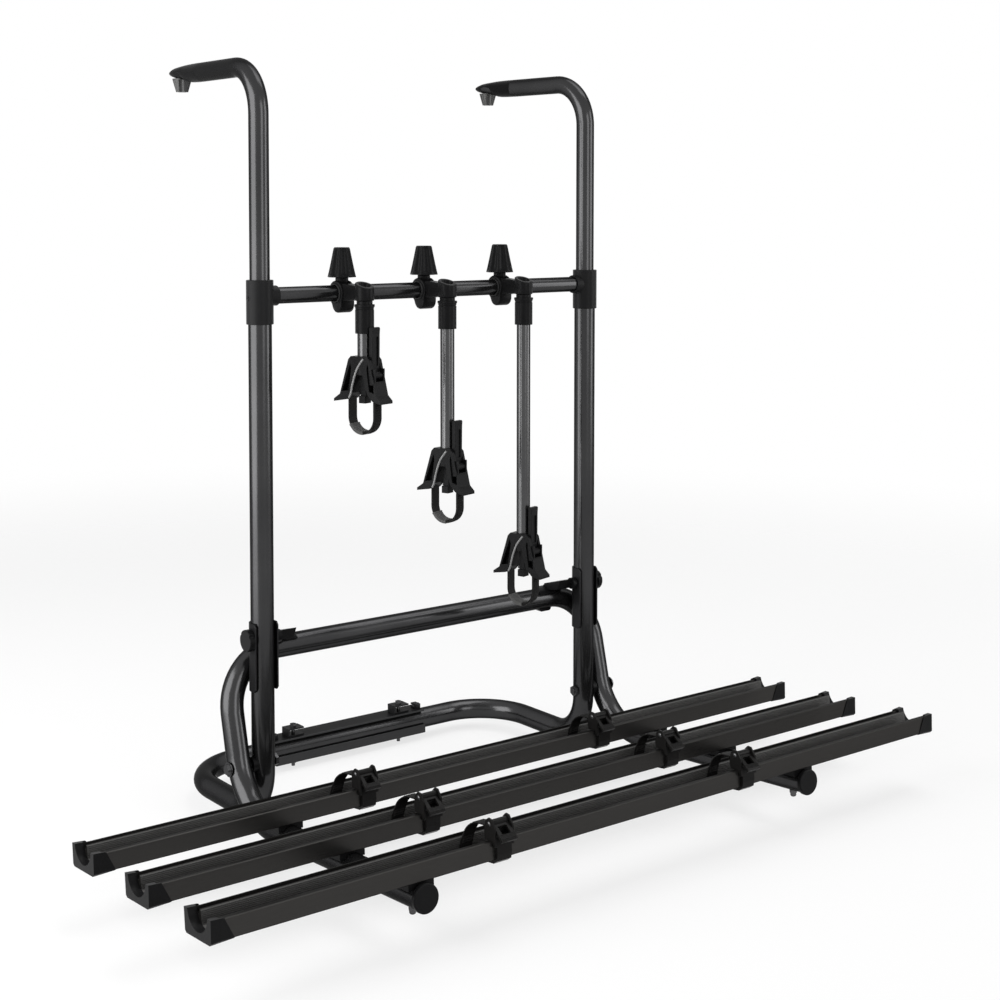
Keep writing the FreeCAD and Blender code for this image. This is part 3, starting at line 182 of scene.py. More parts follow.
class NodeBook:
    """Short names for the shader nodes that the finishes and the studio share."""

    def __init__(self, tree: bpy.types.NodeTree) -> None:
        """Keep the tree of a material or of the world."""
        self.tree = tree

    def fill(self, node: bpy.types.Node, values: dict[str | int, Value]) -> None:
        """Link a node's sockets, or set them.

        Args:
            node: The node.
            values: For each input, the socket that feeds it or its own value.
        """
        for name, value in values.items():
            if isinstance(value, Socket):
                self.tree.links.new(value, node.inputs[name])
            else:
                node.inputs[name].default_value = value

    def add(self, kind: str, values: dict[str | int, Value] | None = None,
            **options: str) -> bpy.types.Node:
        """New node of a kind.

        Args:
            kind: Blender's name for it.
            values: What its inputs get.
            options: Its settings, such as the operation of a maths node.

        Returns:
            The node.
        """
        node = self.tree.nodes.new(kind)
        for name, option in options.items():
            setattr(node, name, option)
        self.fill(node, values or {})
        return node

    def object_space(self, scale: Point3) -> Socket:
        """Texture space of the piece itself, in metres times a scale."""
        place = self.add("ShaderNodeTexCoord").outputs["Object"]
        return self.add("ShaderNodeMapping", {"Vector": place, "Scale": scale}).outputs["Vector"]

    def noise(self, where: Socket, scale: float, detail: float) -> Socket:
        """Cloudy value between 0 and 1, by cells for each metre and octaves."""
        values = {"Vector": where, "Scale": scale, "Detail": detail}
        return self.add("ShaderNodeTexNoise", values).outputs["Fac"]

    def cells(self, where: Socket, scale: float) -> Socket:
        """Rounded pebbles, as leather-grained plastic has them, by cells for each metre."""
        values = {"Vector": where, "Scale": scale, "Smoothness": PEBBLE_SMOOTHNESS}
        return self.add("ShaderNodeTexVoronoi", values, feature="SMOOTH_F1").outputs["Distance"]

    def blend_value(self, first: Socket, second: Socket, share: float) -> Socket:
        """Mix of two values, with a share of the second."""
        return self.add("ShaderNodeMix", {"Factor": share, "A": first, "B": second}).outputs["Result"]

    def remap(self, value: Socket, low: float, high: float) -> Socket:
        """Value from a noise's usual span to the span from low to high."""
        values = dict(zip(("From Min", "From Max", "To Min", "To Max"), (*NOISE_SPAN, low, high)))
        return self.add("ShaderNodeMapRange", {"Value": value, **values}).outputs["Result"]

    def ramp_colour(self, value: Socket, low: Point3, high: Point3) -> Socket:
        """Colour between two, by a value.

        Args:
            value: Driving value, mostly within NOISE_SPAN.
            low: Linear colour at the low end.
            high: Linear colour at the high end.

        Returns:
            The colour socket.
        """
        node = self.add("ShaderNodeValToRGB", {"Fac": value})
        first, last = node.color_ramp.elements
        first.position, last.position = RAMP_SPAN
        first.color, last.color = (*low, 1.0), (*high, 1.0)
        return node.outputs["Color"]

    def height_of(self, grain: Grain, where: Socket, size: float) -> Socket:
        """Height field of a grain.

        Args:
            grain: Which kind.
            where: Texture space.
            size: Size of one grain in metres.

        Returns:
            The height socket.
        """
        if grain is Grain.MOULDED:
            many, detail = MOULDED_NOISE
            return self.blend_value(self.cells(where, MOULDED_PEBBLES / size),
                                    self.noise(where, many / size, detail), MOULDED_SHARE)
        if grain is Grain.RUBBER:
            many, detail = RUBBER_NOISE
            return self.blend_value(self.noise(where, many / size, detail),
                                    self.cells(where, RUBBER_PEBBLES / size), RUBBER_SHARE)
        many, detail = PLAIN_NOISE
        return self.noise(where, many / size, detail)

    def bump(self, height: Socket, distance: float) -> Socket:
        """Normal that a height field gives, where a height of 1 stands for a distance in metres."""
        values = {"Strength": BUMP_STRENGTH, "Distance": distance, "Height": height}
        return self.add("ShaderNodeBump", values).outputs["Normal"]

    def any_ray(self, *kinds: str) -> Socket:
        """Value that is 1 for rays of some kinds.

        Args:
            kinds: Outputs of the light path.

        Returns:
            The value socket.
        """
        path = self.add("ShaderNodeLightPath")
        largest = path.outputs[kinds[0]]
        for kind in kinds[1:]:
            step = self.add("ShaderNodeMath", {0: largest, 1: path.outputs[kind]}, operation="MAXIMUM")
            largest = step.outputs["Value"]
        return largest

    def mix_shaders(self, share: Socket, first: Socket, second: Socket) -> Socket:
        """Mix of two shaders, with a share of the second."""
        return self.add("ShaderNodeMixShader", {0: share, 1: first, 2: second}).outputs["Shader"]


FRAME_COAT = Finish("frame_coat", (0.040, 0.040, 0.041), (0.050, 0.050, 0.051), 0.20, Grain.POWDER,
                    spread=0.03, metallic=0.85, specular=0.3, edge=0.05, relief=0.00002, grain_size=0.0009)
HOLDER_COAT = Finish("holder_coat", (0.066, 0.066, 0.067), (0.084, 0.084, 0.085), 0.20, Grain.POWDER,
                     spread=0.03, metallic=0.85, specular=0.3, edge=0.05, relief=0.000015, grain_size=0.0008)
RAIL_ANODISED = Finish("rail_anodised", (0.030, 0.029, 0.028), (0.040, 0.0385, 0.037), 0.30,
                       Grain.DRAWN, metallic=0.8, specular=0.3, edge=0.05, relief=0.00002,
                       grain_size=0.0005)
SLEEVE_PLASTIC = Finish("sleeve_plastic", (0.010, 0.010, 0.0104), (0.014, 0.014, 0.0144), 0.36,
                        Grain.MOULDED, specular=0.05, grain_size=0.0009)
BLACK_PLASTIC = Finish("moulded_black", (0.0050, 0.0050, 0.0053), (0.0075, 0.0075, 0.0078), 0.36,
                       Grain.MOULDED, specular=0.055, grain_size=0.0008)
BUCKLE_PLASTIC = Finish("buckle_black", (0.0060, 0.0058, 0.0057), (0.0085, 0.0081, 0.0078), 0.32,
                        Grain.MOULDED, specular=0.06, grain_size=0.0007)
LINER_PLASTIC = Finish("bush_grey", (0.016, 0.016, 0.016), (0.021, 0.021, 0.021), 0.45,
                       Grain.MOULDED, specular=0.14)
STRAP_RUBBER = Finish("band_rubber", (0.0045, 0.0043, 0.0042), (0.0070, 0.0066, 0.0064), 0.46,
                      Grain.RUBBER, specular=0.06, relief=0.00005)
PAD_RUBBER = Finish("pad_rubber", (0.045, 0.045, 0.044), (0.065, 0.064, 0.063), 0.55, Grain.RUBBER,
                    specular=0.2, relief=0.00006)
HOOK_DIP = Finish("hook_dip", (0.0028, 0.0028, 0.0030), (0.0042, 0.0042, 0.0045), 0.38, Grain.POWDER,
                  specular=0.03, relief=0.00002)
KNOB_GREY = Finish("knob_grey", (0.028, 0.028, 0.028), (0.040, 0.040, 0.039), 0.34, Grain.MOULDED,
                   specular=0.3, grain_size=0.0008)
PROFILE_COAT = Finish("profile_coat", (0.034, 0.034, 0.035), (0.044, 0.044, 0.045), 0.32,
                      Grain.DRAWN, metallic=0.8, specular=0.3, edge=0.05, relief=0.00002,
                      grain_size=0.0006)
BRACKET_COAT = Finish("bracket_coat", (0.020, 0.020, 0.021), (0.028, 0.028, 0.029), 0.32,
                      Grain.POWDER, metallic=0.7, specular=0.2, edge=0.05, relief=0.00002)
DARK_ZINC = Finish("dark_zinc", (0.060, 0.060, 0.062), (0.100, 0.100, 0.102), 0.28, Grain.PLATED,
                   metallic=0.9, specular=0.3, edge=0.3, relief=0.00002, grain_size=0.0006,
                   spread=0.08)
# Lighter, less metallic copy of the rail's anodised finish: painted light on the ribbed inner face of the
# rear wall.
RAIL_PAINTED_LIGHT = Finish("rail_grip", (0.052, 0.051, 0.050), (0.066, 0.065, 0.063), 0.42, Grain.DRAWN,
                   metallic=0.3, specular=0.3, edge=0.3, relief=0.00002, grain_size=0.0005)
# Light grey finish of the jaw beads: a painted highlight on the rounded inner edges of the black cheeks.
PAINTED_HIGHLIGHT_BEAD = Finish("painted_highlight_bead", (0.17, 0.17, 0.17), (0.22, 0.22, 0.218), 0.3, Grain.MOULDED,
                    specular=0.3)

SLOT_FINISH: dict[str, Finish] = {
    "frame_tube": FRAME_COAT,
    "holder_tube": HOLDER_COAT,
    "moulded_joint": SLEEVE_PLASTIC,
    "black_plastic": BLACK_PLASTIC,
    "buckle_plastic": BUCKLE_PLASTIC,
    "liner_plastic": LINER_PLASTIC,
    "strap_rubber": STRAP_RUBBER,
    "rail_metal": RAIL_ANODISED,
    "profile_metal": PROFILE_COAT,
    "bracket_metal": BRACKET_COAT,
    "bolt_steel": DARK_ZINC,
}
NODE_FINISH: dict[str, Finish] = {"left_hook_knob": KNOB_GREY, "right_hook_knob": KNOB_GREY}


class Mould:
    """A mesh in the making, with its own drawing frame."""

    def __init__(self, place: Matrix | None = None) -> None:
        """Start an empty mesh.

        Args:
            place: Matrix from the drawing frame to the row frame.
        """
        self.mesh = bmesh.new()
        self.place = place if place is not None else Matrix.Identity(4)

    def at(self, place: Matrix) -> "Mould":
        """Go on drawing in another frame."""
        self.place = place
        return self

    def loft(self, rings: Sequence[Sequence[Sequence[float]]], closed: bool = False,
             smooth: bool = True) -> None:
        """Skin rings of equal length.

        Args:
            rings: Rings of points in the drawing frame, all in the same turn.
            closed: Whether the last ring meets the first, which leaves out the end faces.
            smooth: Whether the skin is shaded smooth.
        """
        rows = [[self.mesh.verts.new(self.place @ Vector(p)) for p in ring] for ring in rings]
        count = len(rows[0])
        pairs = list(zip(rows, rows[1:])) + ([(rows[-1], rows[0])] if closed else [])
        for low, high in pairs:
            for i in range(count):
                j = (i + 1) % count
                face = self.mesh.faces.new((low[i], low[j], high[j], high[i]))
                face.smooth = smooth
        if not closed:
            self.mesh.faces.new(list(reversed(rows[0])))
            self.mesh.faces.new(rows[-1])

    def lathe(self, profile: Sequence[Point], steps: int = 32) -> None:
        """Turn a profile about the drawing frame's Z.

        Args:
            profile: (radius, height) points; the first and last may lie on the axis.
            steps: Facets round the axis.
        """
        tiny = 1e-5
        self.loft([circle(max(radius, tiny), height, steps) for radius, height in profile])

    def prism(self, outline: Sequence[Point], low: float, high: float, chamfer: float) -> None:
        """Prism along the drawing frame's X with chamfered ends.

        Args:
            outline: (y, z) points.
            low: First end.
            high: Last end.
            chamfer: How far both ends are drawn in.
        """
        middle_y = sum(p[0] for p in outline) / len(outline)
        middle_z = sum(p[1] for p in outline) / len(outline)
        reach = max(math.hypot(p[0] - middle_y, p[1] - middle_z) for p in outline)
        shrink = 1.0 - chamfer / reach

        def ring(x: float, scale: float) -> list[Point3]:
            """Outline at one place along X."""
            return [(x, middle_y + (y - middle_y) * scale, middle_z + (z - middle_z) * scale)
                    for y, z in outline]

        self.loft([ring(low, shrink), ring(low + chamfer, 1.0), ring(high - chamfer, 1.0),
                   ring(high, shrink)], smooth=False)

    def bar(self, path: Sequence[Vector], radius: float, steps: int = 12) -> None:
        """Round bar along a line of points.

        Args:
            path: Points in the drawing frame.
            radius: Radius of the bar.
            steps: Facets round it.
        """
        rings = []
        for i, point in enumerate(path):
            run = (path[min(i + 1, len(path) - 1)] - path[max(i - 1, 0)]).normalized()
            across = run.orthogonal() if i == 0 else (side - run * side.dot(run))
            side = across.normalized()
            up = run.cross(side)
            rings.append([point + (side * math.cos(FULL_TURN * k / steps)
                                   + up * math.sin(FULL_TURN * k / steps)) * radius
                          for k in range(steps)])
        self.loft(rings)

    def piece(self, name: str, finish: Finish, body: str, slot: str,
              bevel: float = 0.0) -> bpy.types.Object:
        """Close the mesh and hang it on a body.

        Args:
            name: Name of the piece.
            finish: Its finish.
            body: CAD body that it rides on.
            slot: The record's material slot; not used.
            bevel: Width of a bevel on its sharp edges, or 0.

        Returns:
            The new object.
        """
        bmesh.ops.recalc_face_normals(self.mesh, faces=self.mesh.faces)
        data = bpy.data.meshes.new(name)
        self.mesh.to_mesh(data)
        self.mesh.free()
        data.materials.append(finish.material())
        made = in_scene(name, data)
        if bevel > 0.0:
            soften(made, bevel)
        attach(made, body)
        LOG.info("piece %s rides on %s, %d faces", name, body, len(data.polygons))
        return made


def in_scene(name: str, data: bpy.types.ID) -> bpy.types.Object:
    """Put a new object into the scene.

    Args:
        name: Its name.
        data: Its mesh, lamp or camera.

    Returns:
        The object.
    """
    made = bpy.data.objects.new(name, data)
    bpy.context.scene.collection.objects.link(made)
    return made


def circle(radius: float, height: float, steps: int) -> list[Point3]:
    """Points round the Z axis, at a height."""
    return [(radius * math.cos(FULL_TURN * k / steps), radius * math.sin(FULL_TURN * k / steps), height)
            for k in range(steps)]


def band_ring(middle: Vector, out: Vector, side: Sequence[Point]) -> list[Vector]:
    """Section of a band that is the same on both sides of its middle line.

    Args:
        middle: Point on the middle line.
        out: Direction away from what the band lies on.
        side: Corners of one side as (across, outward) from that point.

    Returns:
        The corners of both sides, in one turn.
    """
    corners = [*side, *((-across, outward) for across, outward in reversed(side))]
    return [middle + ACROSS * across + out * outward for across, outward in corners]


def soften(piece: bpy.types.Object, width: float) -> None:
    """Round the sharp edges of a piece.

    Args:
        piece: Mesh object.
        width: Width of the rounding in metres.
    """
    bevel = piece.modifiers.new("edge", "BEVEL")
    bevel.width = width
    bevel.segments = 2
    bevel.limit_method = "ANGLE"
    bevel.angle_limit = SHARP
    bevel.use_clamp_overlap = True
    bevel.harden_normals = False


@dataclass
class RailFrame:
    """Drawing frames at the wheel rails' front top edges, and the sizes that place them."""

    post_y: float = -282.5 * MM
    pivot_z: float = 85.0 * MM
    rise: float = math.radians(3.64)
    first_front: float = 148.1 * MM
    pitch: float = 161.0 * MM
    top: float = -25.8 * MM
    height: float = 26.0 * MM
    strap_x: tuple[float, ...] = mm(-228.0, 228.0)

    def arm(self) -> Matrix:
        """Matrix of the level platform frame at the pivots."""
        lift = Matrix.Translation((0.0, self.post_y, self.pivot_z))
        return lift @ Matrix.Rotation(-self.rise, 4, "X")

    def edge(self, place: Place, x: float) -> Matrix:
        """Matrix of a frame on a rail's front top edge.

        Args:
            place: Which rail.
            x: Place along the rail.

        Returns:
            Matrix from that frame to the row frame.
        """
        front = -(self.first_front + place.value * self.pitch)
        return self.arm() @ Matrix.Translation((x, front, self.top))


@dataclass
class HolderFrame:
    """Drawing frame of each holder's jaw: arm axis on Z, jaw top at 0, near side at -Y."""

    xs: tuple[float, ...] = mm(-172.4, -19.2, 132.4)
    drops: tuple[float, ...] = mm(92.0, 244.0, 396.0)
    y: float = -345.5 * MM
    crossbar_y: float = -282.5 * MM
    crossbar_z: float = 785.0 * MM
    turn: float = math.radians(15.7)

    def jaw(self, number: int) -> Matrix:
        """Matrix of a holder's jaw frame.

        Args:
            number: Holder, 1 to 3 from the left.

        Returns:
            Matrix from the jaw's frame to the row frame.
        """
        x, drop = self.xs[number - 1], self.drops[number - 1]
        hang = Matrix.Translation((x, self.y, self.crossbar_z - drop))
        return hang @ Matrix.Rotation(self.turn, 4, "Z")


@dataclass
class Skins:
    """Finishes of all nodes that stay as the solids make them."""

    bevel: float = 0.45 * MM
    merge: float = 0.004 * MM
    plain: tuple[str, ...] = ("lower_frame_tube", "crossbar", "platform_tube")

    def dress(self) -> None:
        """Give each node its slot's finish and a small rounding on its edges."""
        slots = {row["node"]: row["material_slot"] for row in frame["record"]["subparts"]}
        for name, node in frame["nodes"].items():
            finish = NODE_FINISH.get(name, SLOT_FINISH[slots[name]])
            node.data.materials.clear()
            node.data.materials.append(finish.material())
            self.smooth(node, name)
            LOG.info("node %s: %s", name, finish.name)

    def smooth(self, node: bpy.types.Object, name: str) -> None:
        """Join the split corners, bevel the edges and shade the rest smooth.

        Args:
            node: CAD node, whose own vertices stay.
            name: Its name.
        """
        weld = node.modifiers.new("join", "WELD")
        weld.merge_threshold = self.merge
        if name not in self.plain:
            soften(node, self.bevel)
        normals = node.modifiers.new("normals", "WEIGHTED_NORMAL")
        normals.keep_sharp = True


@dataclass
class WideRails:
    """Wheel rails of full width, with a groove on top of the thick rear wall, and their flared caps."""

    rails: RailFrame
    half_length: float = 645.0 * MM
    width: float = 62.0 * MM
    lip: float = 8.0 * MM
    foot: float = 10.0 * MM
    back: float = 9.5 * MM
    floor: float = 5.0 * MM
    floor_slope: float = 4.0 * MM
    rib_start: float = 3.0 * MM
    top_edge: float = 1.0 * MM
    corners: Point = mm(1.2, 1.5)
    painted_light_band: Point = mm(-4.0, 1.0)
    track: Point = mm(10.5, 6.0)
    track_lip: float = 3.0 * MM
    slot: Point = mm(12.0, 1.8)
    ribs: int = 7
    rib: Point = mm(1.3, 0.7)
    cap_end: float = 657.2 * MM
    cap_low: float = 31.5 * MM
    cap_top: float = 18.0 * MM
    cap_play: float = 0.05 * MM
    cap_corner: float = 3.0 * MM
    cap_knee: Point = (0.4, 0.2 * MM)
    cap_start: float = 1.0 * MM
    cap_thin: float = 0.6 * MM
    cap_steps: int = 12
    mouth_steps: int = 6
    arc_steps: int = 24
    proud: float = 1.0 * MM
    flare: Point3 = mm(1.5, 2.0, 1.5)
    mouth: float = 25.0 * MM
    dip: float = 6.0 * MM

    def side(self, more: float) -> list[Point]:
        """Half of the rail's section, from the trough's floor over the wall to the slot.

        Args:
            more: How much thicker this wall is than a plain one; a thick one gets the groove.

        Returns:
            (y, z) points, y = 0 at the rail's middle, z = 0 at its foot.
        """
        half, height = self.width / 2, self.rails.height
        top_in, low_in = half - self.lip - more, half - self.foot - more
        slope = (top_in - low_in) / (height - self.floor)
        start = self.floor + self.rib_start
        line = [(low_in - self.floor_slope, self.floor), (low_in, start)]
        for k in range(self.ribs):
            z = start + (k + 1) * (height - start) / (self.ribs + 1)
            y = low_in + (z - self.floor) * slope
            wide, deep = self.rib
            line += [(y, z - wide / 2), (y + deep, z - wide / 4), (y + deep, z + wide / 4),
                     (y, z + wide / 2)]
        line += [(top_in, height - self.top_edge), (top_in + self.top_edge, height)]
        if more > 0.0:
            far = half - self.track_lip
            near = far - self.track[0]
            line += [(near, height), (near, height - self.track[1]), (far, height - self.track[1]),
                     (far, height)]
        top, low = self.corners
        slot = self.slot[0] / 2
        return line + [(half - top, height), (half, height - top), (half, low), (half - low, 0.0),
                       (slot + low, 0.0), (slot, self.slot[1])]

    def in_edge_frame(self, y: float, z: float) -> Point:
        """Point of the section in the frame at the rail's front top edge."""
        return (y + self.width / 2, z - self.rails.height)

    def rail(self, place: Place) -> None:
        """One extruded rail; the ribbed inner face of its rear wall, which faces the light, gets a lighter,
        less metallic finish as painted light.

        Args:
            place: Which rail.
        """
        frame_at = self.rails.edge(place, 0.0)
        mould = Mould(frame_at)
        around = self.side(self.back) + [(-y, z) for y, z in reversed(self.side(0.0))]
        outline = [self.in_edge_frame(y, z) for y, z in around]
        mould.loft([[(x, y, z) for y, z in outline] for x in (-self.half_length, self.half_length)],
                   smooth=False)
        name = place.name.lower()
        made = mould.piece(f"{name}_full_rail", RAIL_ANODISED, "platform", "rail_metal")
        # Second material: painted light on the ribbed inner face of the rear wall.
        made.data.materials.append(RAIL_PAINTED_LIGHT.material())
        back = frame_at.inverted()
        near, far = (self.width - self.back - self.lip + more for more in self.painted_light_band)
        for face in made.data.polygons:
            spot = back @ face.center
            if near < spot.y < far and spot.z > self.floor - self.rails.height:
                face.material_index = 1
        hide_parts(f"{name}_rail")

    def cap(self, mould: Mould, hand: Hand) -> None:
        """Draw one cap: a sleeve round the rail's end with a slanted edge, and the trough's mouth.

        Args:
            mould: Mesh in the rail's edge frame.
            hand: Which end of the rail.
        """
        start = self.cap_end - self.cap_low
        grip = self.width / 2 + self.cap_play
        wide, high, drop = self.flare
        corner = self.cap_corner

        def outer(x: float, top: float) -> list[Point]:
            """Outline of the outside.

            Args:
                x: Place along the rail.
                top: Height of the walls there.

            Returns:
                (y, z) points of the section.
            """
            share = (x - start) / self.cap_low
            half = self.width / 2 + self.proud
            low = -self.proud - drop * share
            reach = half + wide * share
            part, play = self.cap_knee
            bend = half + wide * part * share
            knee = min(low + corner, top - play)
            return [(-reach, top), (-bend, knee), (corner - half, low), (half - corner, low),
                    (bend, knee), (reach, top)]

        def ring(x: float, inside: list[Point], top: float) -> list[Point3]:
            """Closed ring of the outside and the inside."""
            points = [self.in_edge_frame(y, z) for y, z in outer(x, top) + inside]
            return [(hand.value * x, y, z) for y, z in points]

        def top_at(x: float) -> float:
            """Height of the walls.

            Args:
                x: Place along the rail.

            Returns:
                The height over the rail's foot.
            """
            full = self.rails.height + self.proud / 2 + high * (x - start) / self.cap_low
            slant = (x - start) / (self.cap_low - self.cap_top)
            return min(full, self.cap_start + slant * (self.rails.height + self.cap_start))

        sleeve = []
        for k in range(self.cap_steps + 1):
            x = start + (self.half_length - start) * k / self.cap_steps
            top = top_at(x)
            foot = min(0.0, top - self.cap_thin)
            sleeve.append(ring(x, [(grip, top), (grip, foot), (-grip, foot), (-grip, top)], top))
        mould.loft(sleeve, smooth=False)
        depth = self.rails.height + self.proud / 2 + high - self.dip
        radius = (self.mouth ** 2 + depth ** 2) / (2 * depth)
        mouth = []
        for k in range(self.mouth_steps + 1):
            x = self.half_length + (self.cap_end - self.half_length) * k / self.mouth_steps
            top = top_at(x)
            turn = math.acos((self.dip + radius - top) / radius)
            arc = [turn - 2 * turn * j / self.arc_steps for j in range(self.arc_steps + 1)]
            mouth.append(ring(x, [(radius * math.sin(a), self.dip + radius * (1 - math.cos(a)))
                                  for a in arc], top))
        mould.loft(mouth, smooth=False)

    def build(self) -> None:
        """Build all rails and caps."""
        caps = Mould()
        for place in Place:
            self.rail(place)
            caps.at(self.rails.edge(place, 0.0))
            for hand in Hand:
                self.cap(caps, hand)
        made = caps.piece("full_rail_end_caps", BLACK_PLASTIC, "platform", "black_plastic", SOFT_EDGE)
        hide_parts("rail_end_caps")


@dataclass
class WheelStraps:
    """Toothed bands that hold the tyres, one pair on each rail.

    The line runs from the hooked end to the buckle, as (y, z) in the rail's edge frame.
    """

    rails: RailFrame
    width: float = 20.0 * MM
    thick: float = 2.2 * MM
    shift: float = 29.0 * MM
    tooth: float = 3.0 * MM
    tooth_high: float = 0.9 * MM
    tooth_sunk: float = 0.3 * MM
    tooth_in: Point = mm(2.5, 3.0)
    edge: float = 0.5 * MM
    plain: float = 5.0 * MM
    settle: float = 0.8
    points: int = 97
    line: tuple[Point, ...] = (mm(41.26, -14.0), mm(42.9, 0.0), mm(41.2, 11.57), mm(33.7, 17.8),
                               mm(23.0, 16.9), mm(15.0, 13.2), mm(4.0, 8.4))

    def band(self, mould: Mould, place: Place, x: float) -> None:
        """Draw one band with its teeth.

        Args:
            mould: Mesh to draw into.
            place: Rail.
            x: Buckle's place along the rail.
        """
        mould.at(self.rails.edge(place, x))
        line = spline_through(self.line, self.points)
        half, thick = self.width / 2, self.thick / 2
        flank, crest = (half - more for more in self.tooth_in)
        top, side = thick - self.tooth_sunk, thick - self.edge
        rings = []
        travelled = 0.0
        for i, (y, z) in enumerate(line):
            before, after = line[max(i - 1, 0)], line[min(i + 1, self.points - 1)]
            run = Vector((0.0, after[0] - before[0], after[1] - before[1])).normalized()
            out = Vector((0.0, -run.z, run.y))
            if out.z < 0 and out.y < 0:
                out = -out
            travelled += math.hypot(y - before[0], z - before[1])
            share = (travelled / self.tooth) % 1.0
            high = self.tooth_high * (1.0 - share) if travelled > self.plain else 0.0
            slide = -self.shift * max(0.0, 1.0 - i / (self.points * self.settle))
            rings.append(band_ring(Vector((slide, y, z)), out, [
                (half - self.edge, -thick), (half, -side), (half, side), (flank, top),
                (crest, top + high)]))
        mould.loft(rings, smooth=False)

    def build(self) -> None:
        """Replace the plain bands of all rails."""
        for place in Place:
            mould = Mould()
            for x in self.rails.strap_x:
                self.band(mould, place, x)
            name = place.name.lower()
            piece = mould.piece(f"{name}_toothed_bands", STRAP_RUBBER, "platform", "strap_rubber")
            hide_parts(f"{name}_wheel_straps")


def spline_through(points: Sequence[Point], count: int) -> list[Point]:
    """Centripetal curve through points.

    Args:
        points: Set points.
        count: Number of points that come back.

    Returns:
        Points spread evenly over the curve's spans.
    """
    first = (2 * points[0][0] - points[1][0], 2 * points[0][1] - points[1][1])
    last = (2 * points[-1][0] - points[-2][0], 2 * points[-1][1] - points[-2][1])
    knots = [Vector(p) for p in (first, *points, last)]
    spans = len(points) - 1
    made = []
    for k in range(count):
        t = k / (count - 1) * spans
        i = min(int(t), spans - 1)
        u = t - i
        a, b, c, d = knots[i:i + 4]
        value = 0.5 * ((2 * b) + (c - a) * u + (2 * a - 5 * b + 4 * c - d) * u ** 2
                       + (3 * b - a - 3 * c + d) * u ** 3)
        made.append((value.x, value.y))
    return made


@dataclass
class Buckles:
    """Small fittings of the wheel straps' buckles."""

    rails: RailFrame
    pin_y: float = 6.0 * MM
    pin_z: float = 21.0 * MM
    cheek_out: float = 15.8 * MM
    head_r: float = 3.6 * MM
    head_h: float = 1.3 * MM
    lever_lean: float = math.radians(130.0)
    lever_half: float = 12.8 * MM
    lever_long: float = 30.0 * MM
    lever_thick: float = 4.0 * MM
    head_sunk: float = 0.4 * MM
    head_steps: int = 20
    dome: tuple[Point, ...] = ((0.0, 1.0), (0.5, 0.93), (0.85, 0.6), (1.0, 0.15))
    rib_line: tuple[Point, ...] = (mm(-0.6, -0.7), mm(0.35, -0.35), mm(0.35, 0.35), mm(-0.6, 0.7))
    rib_out: float = 0.45 * MM
    rib_edge: float = 0.4 * MM
    rib_end: float = 2.6 * MM
    rib_pitch: float = 1.9 * MM
    rib_gap: float = 1.5 * MM
    ribs: int = 4

    def rivets(self) -> None:
        """Domed pin heads on the cheeks of all buckles."""
        mould = Mould()
        dome = [(self.head_r * r, self.head_h * z) for r, z in self.dome]
        dome += [(self.head_r, -self.head_sunk), (0.0, -self.head_sunk)]
        for place in Place:
            for x in self.rails.strap_x:
                for side in (-1, 1):
                    frame_at = self.rails.edge(place, x + side * self.cheek_out)
                    spot = Matrix.Translation((0.0, self.pin_y, self.pin_z))
                    mould.at(frame_at @ spot @ Matrix.Rotation(side * math.pi / 2, 4, "Y"))
                    mould.lathe(dome, self.head_steps)
        mould.piece("buckle_rivets", DARK_ZINC, "platform", "bolt_steel")

    def thumb_ribs(self) -> None:
        """Grip ribs on the end of every strap lever."""
        for place in Place:
            for hand, x in zip(Hand, self.rails.strap_x):
                spot = Matrix.Translation((0.0, self.pin_y, self.pin_z))
                turn = Matrix.Rotation(self.lever_lean, 4, "X")
                mould = Mould(self.rails.edge(place, x) @ spot @ turn)
                for k in range(self.ribs):
                    z = self.lever_long - self.rib_end - k * self.rib_pitch
                    y = self.lever_thick / 2 + self.rib_out
                    mould.prism([(y + out, z + up) for out, up in self.rib_line],
                                self.rib_gap - self.lever_half, self.lever_half - self.rib_gap,
                                self.rib_edge)
                name = f"{place.name.lower()}_{hand.name.lower()}"
                mould.piece(f"{name}_thumb_ribs", BUCKLE_PLASTIC, f"{name}_ratchet",
                            "buckle_plastic")

    def build(self) -> None:
        """Build all fittings."""
        self.rivets()
        self.thumb_ribs()


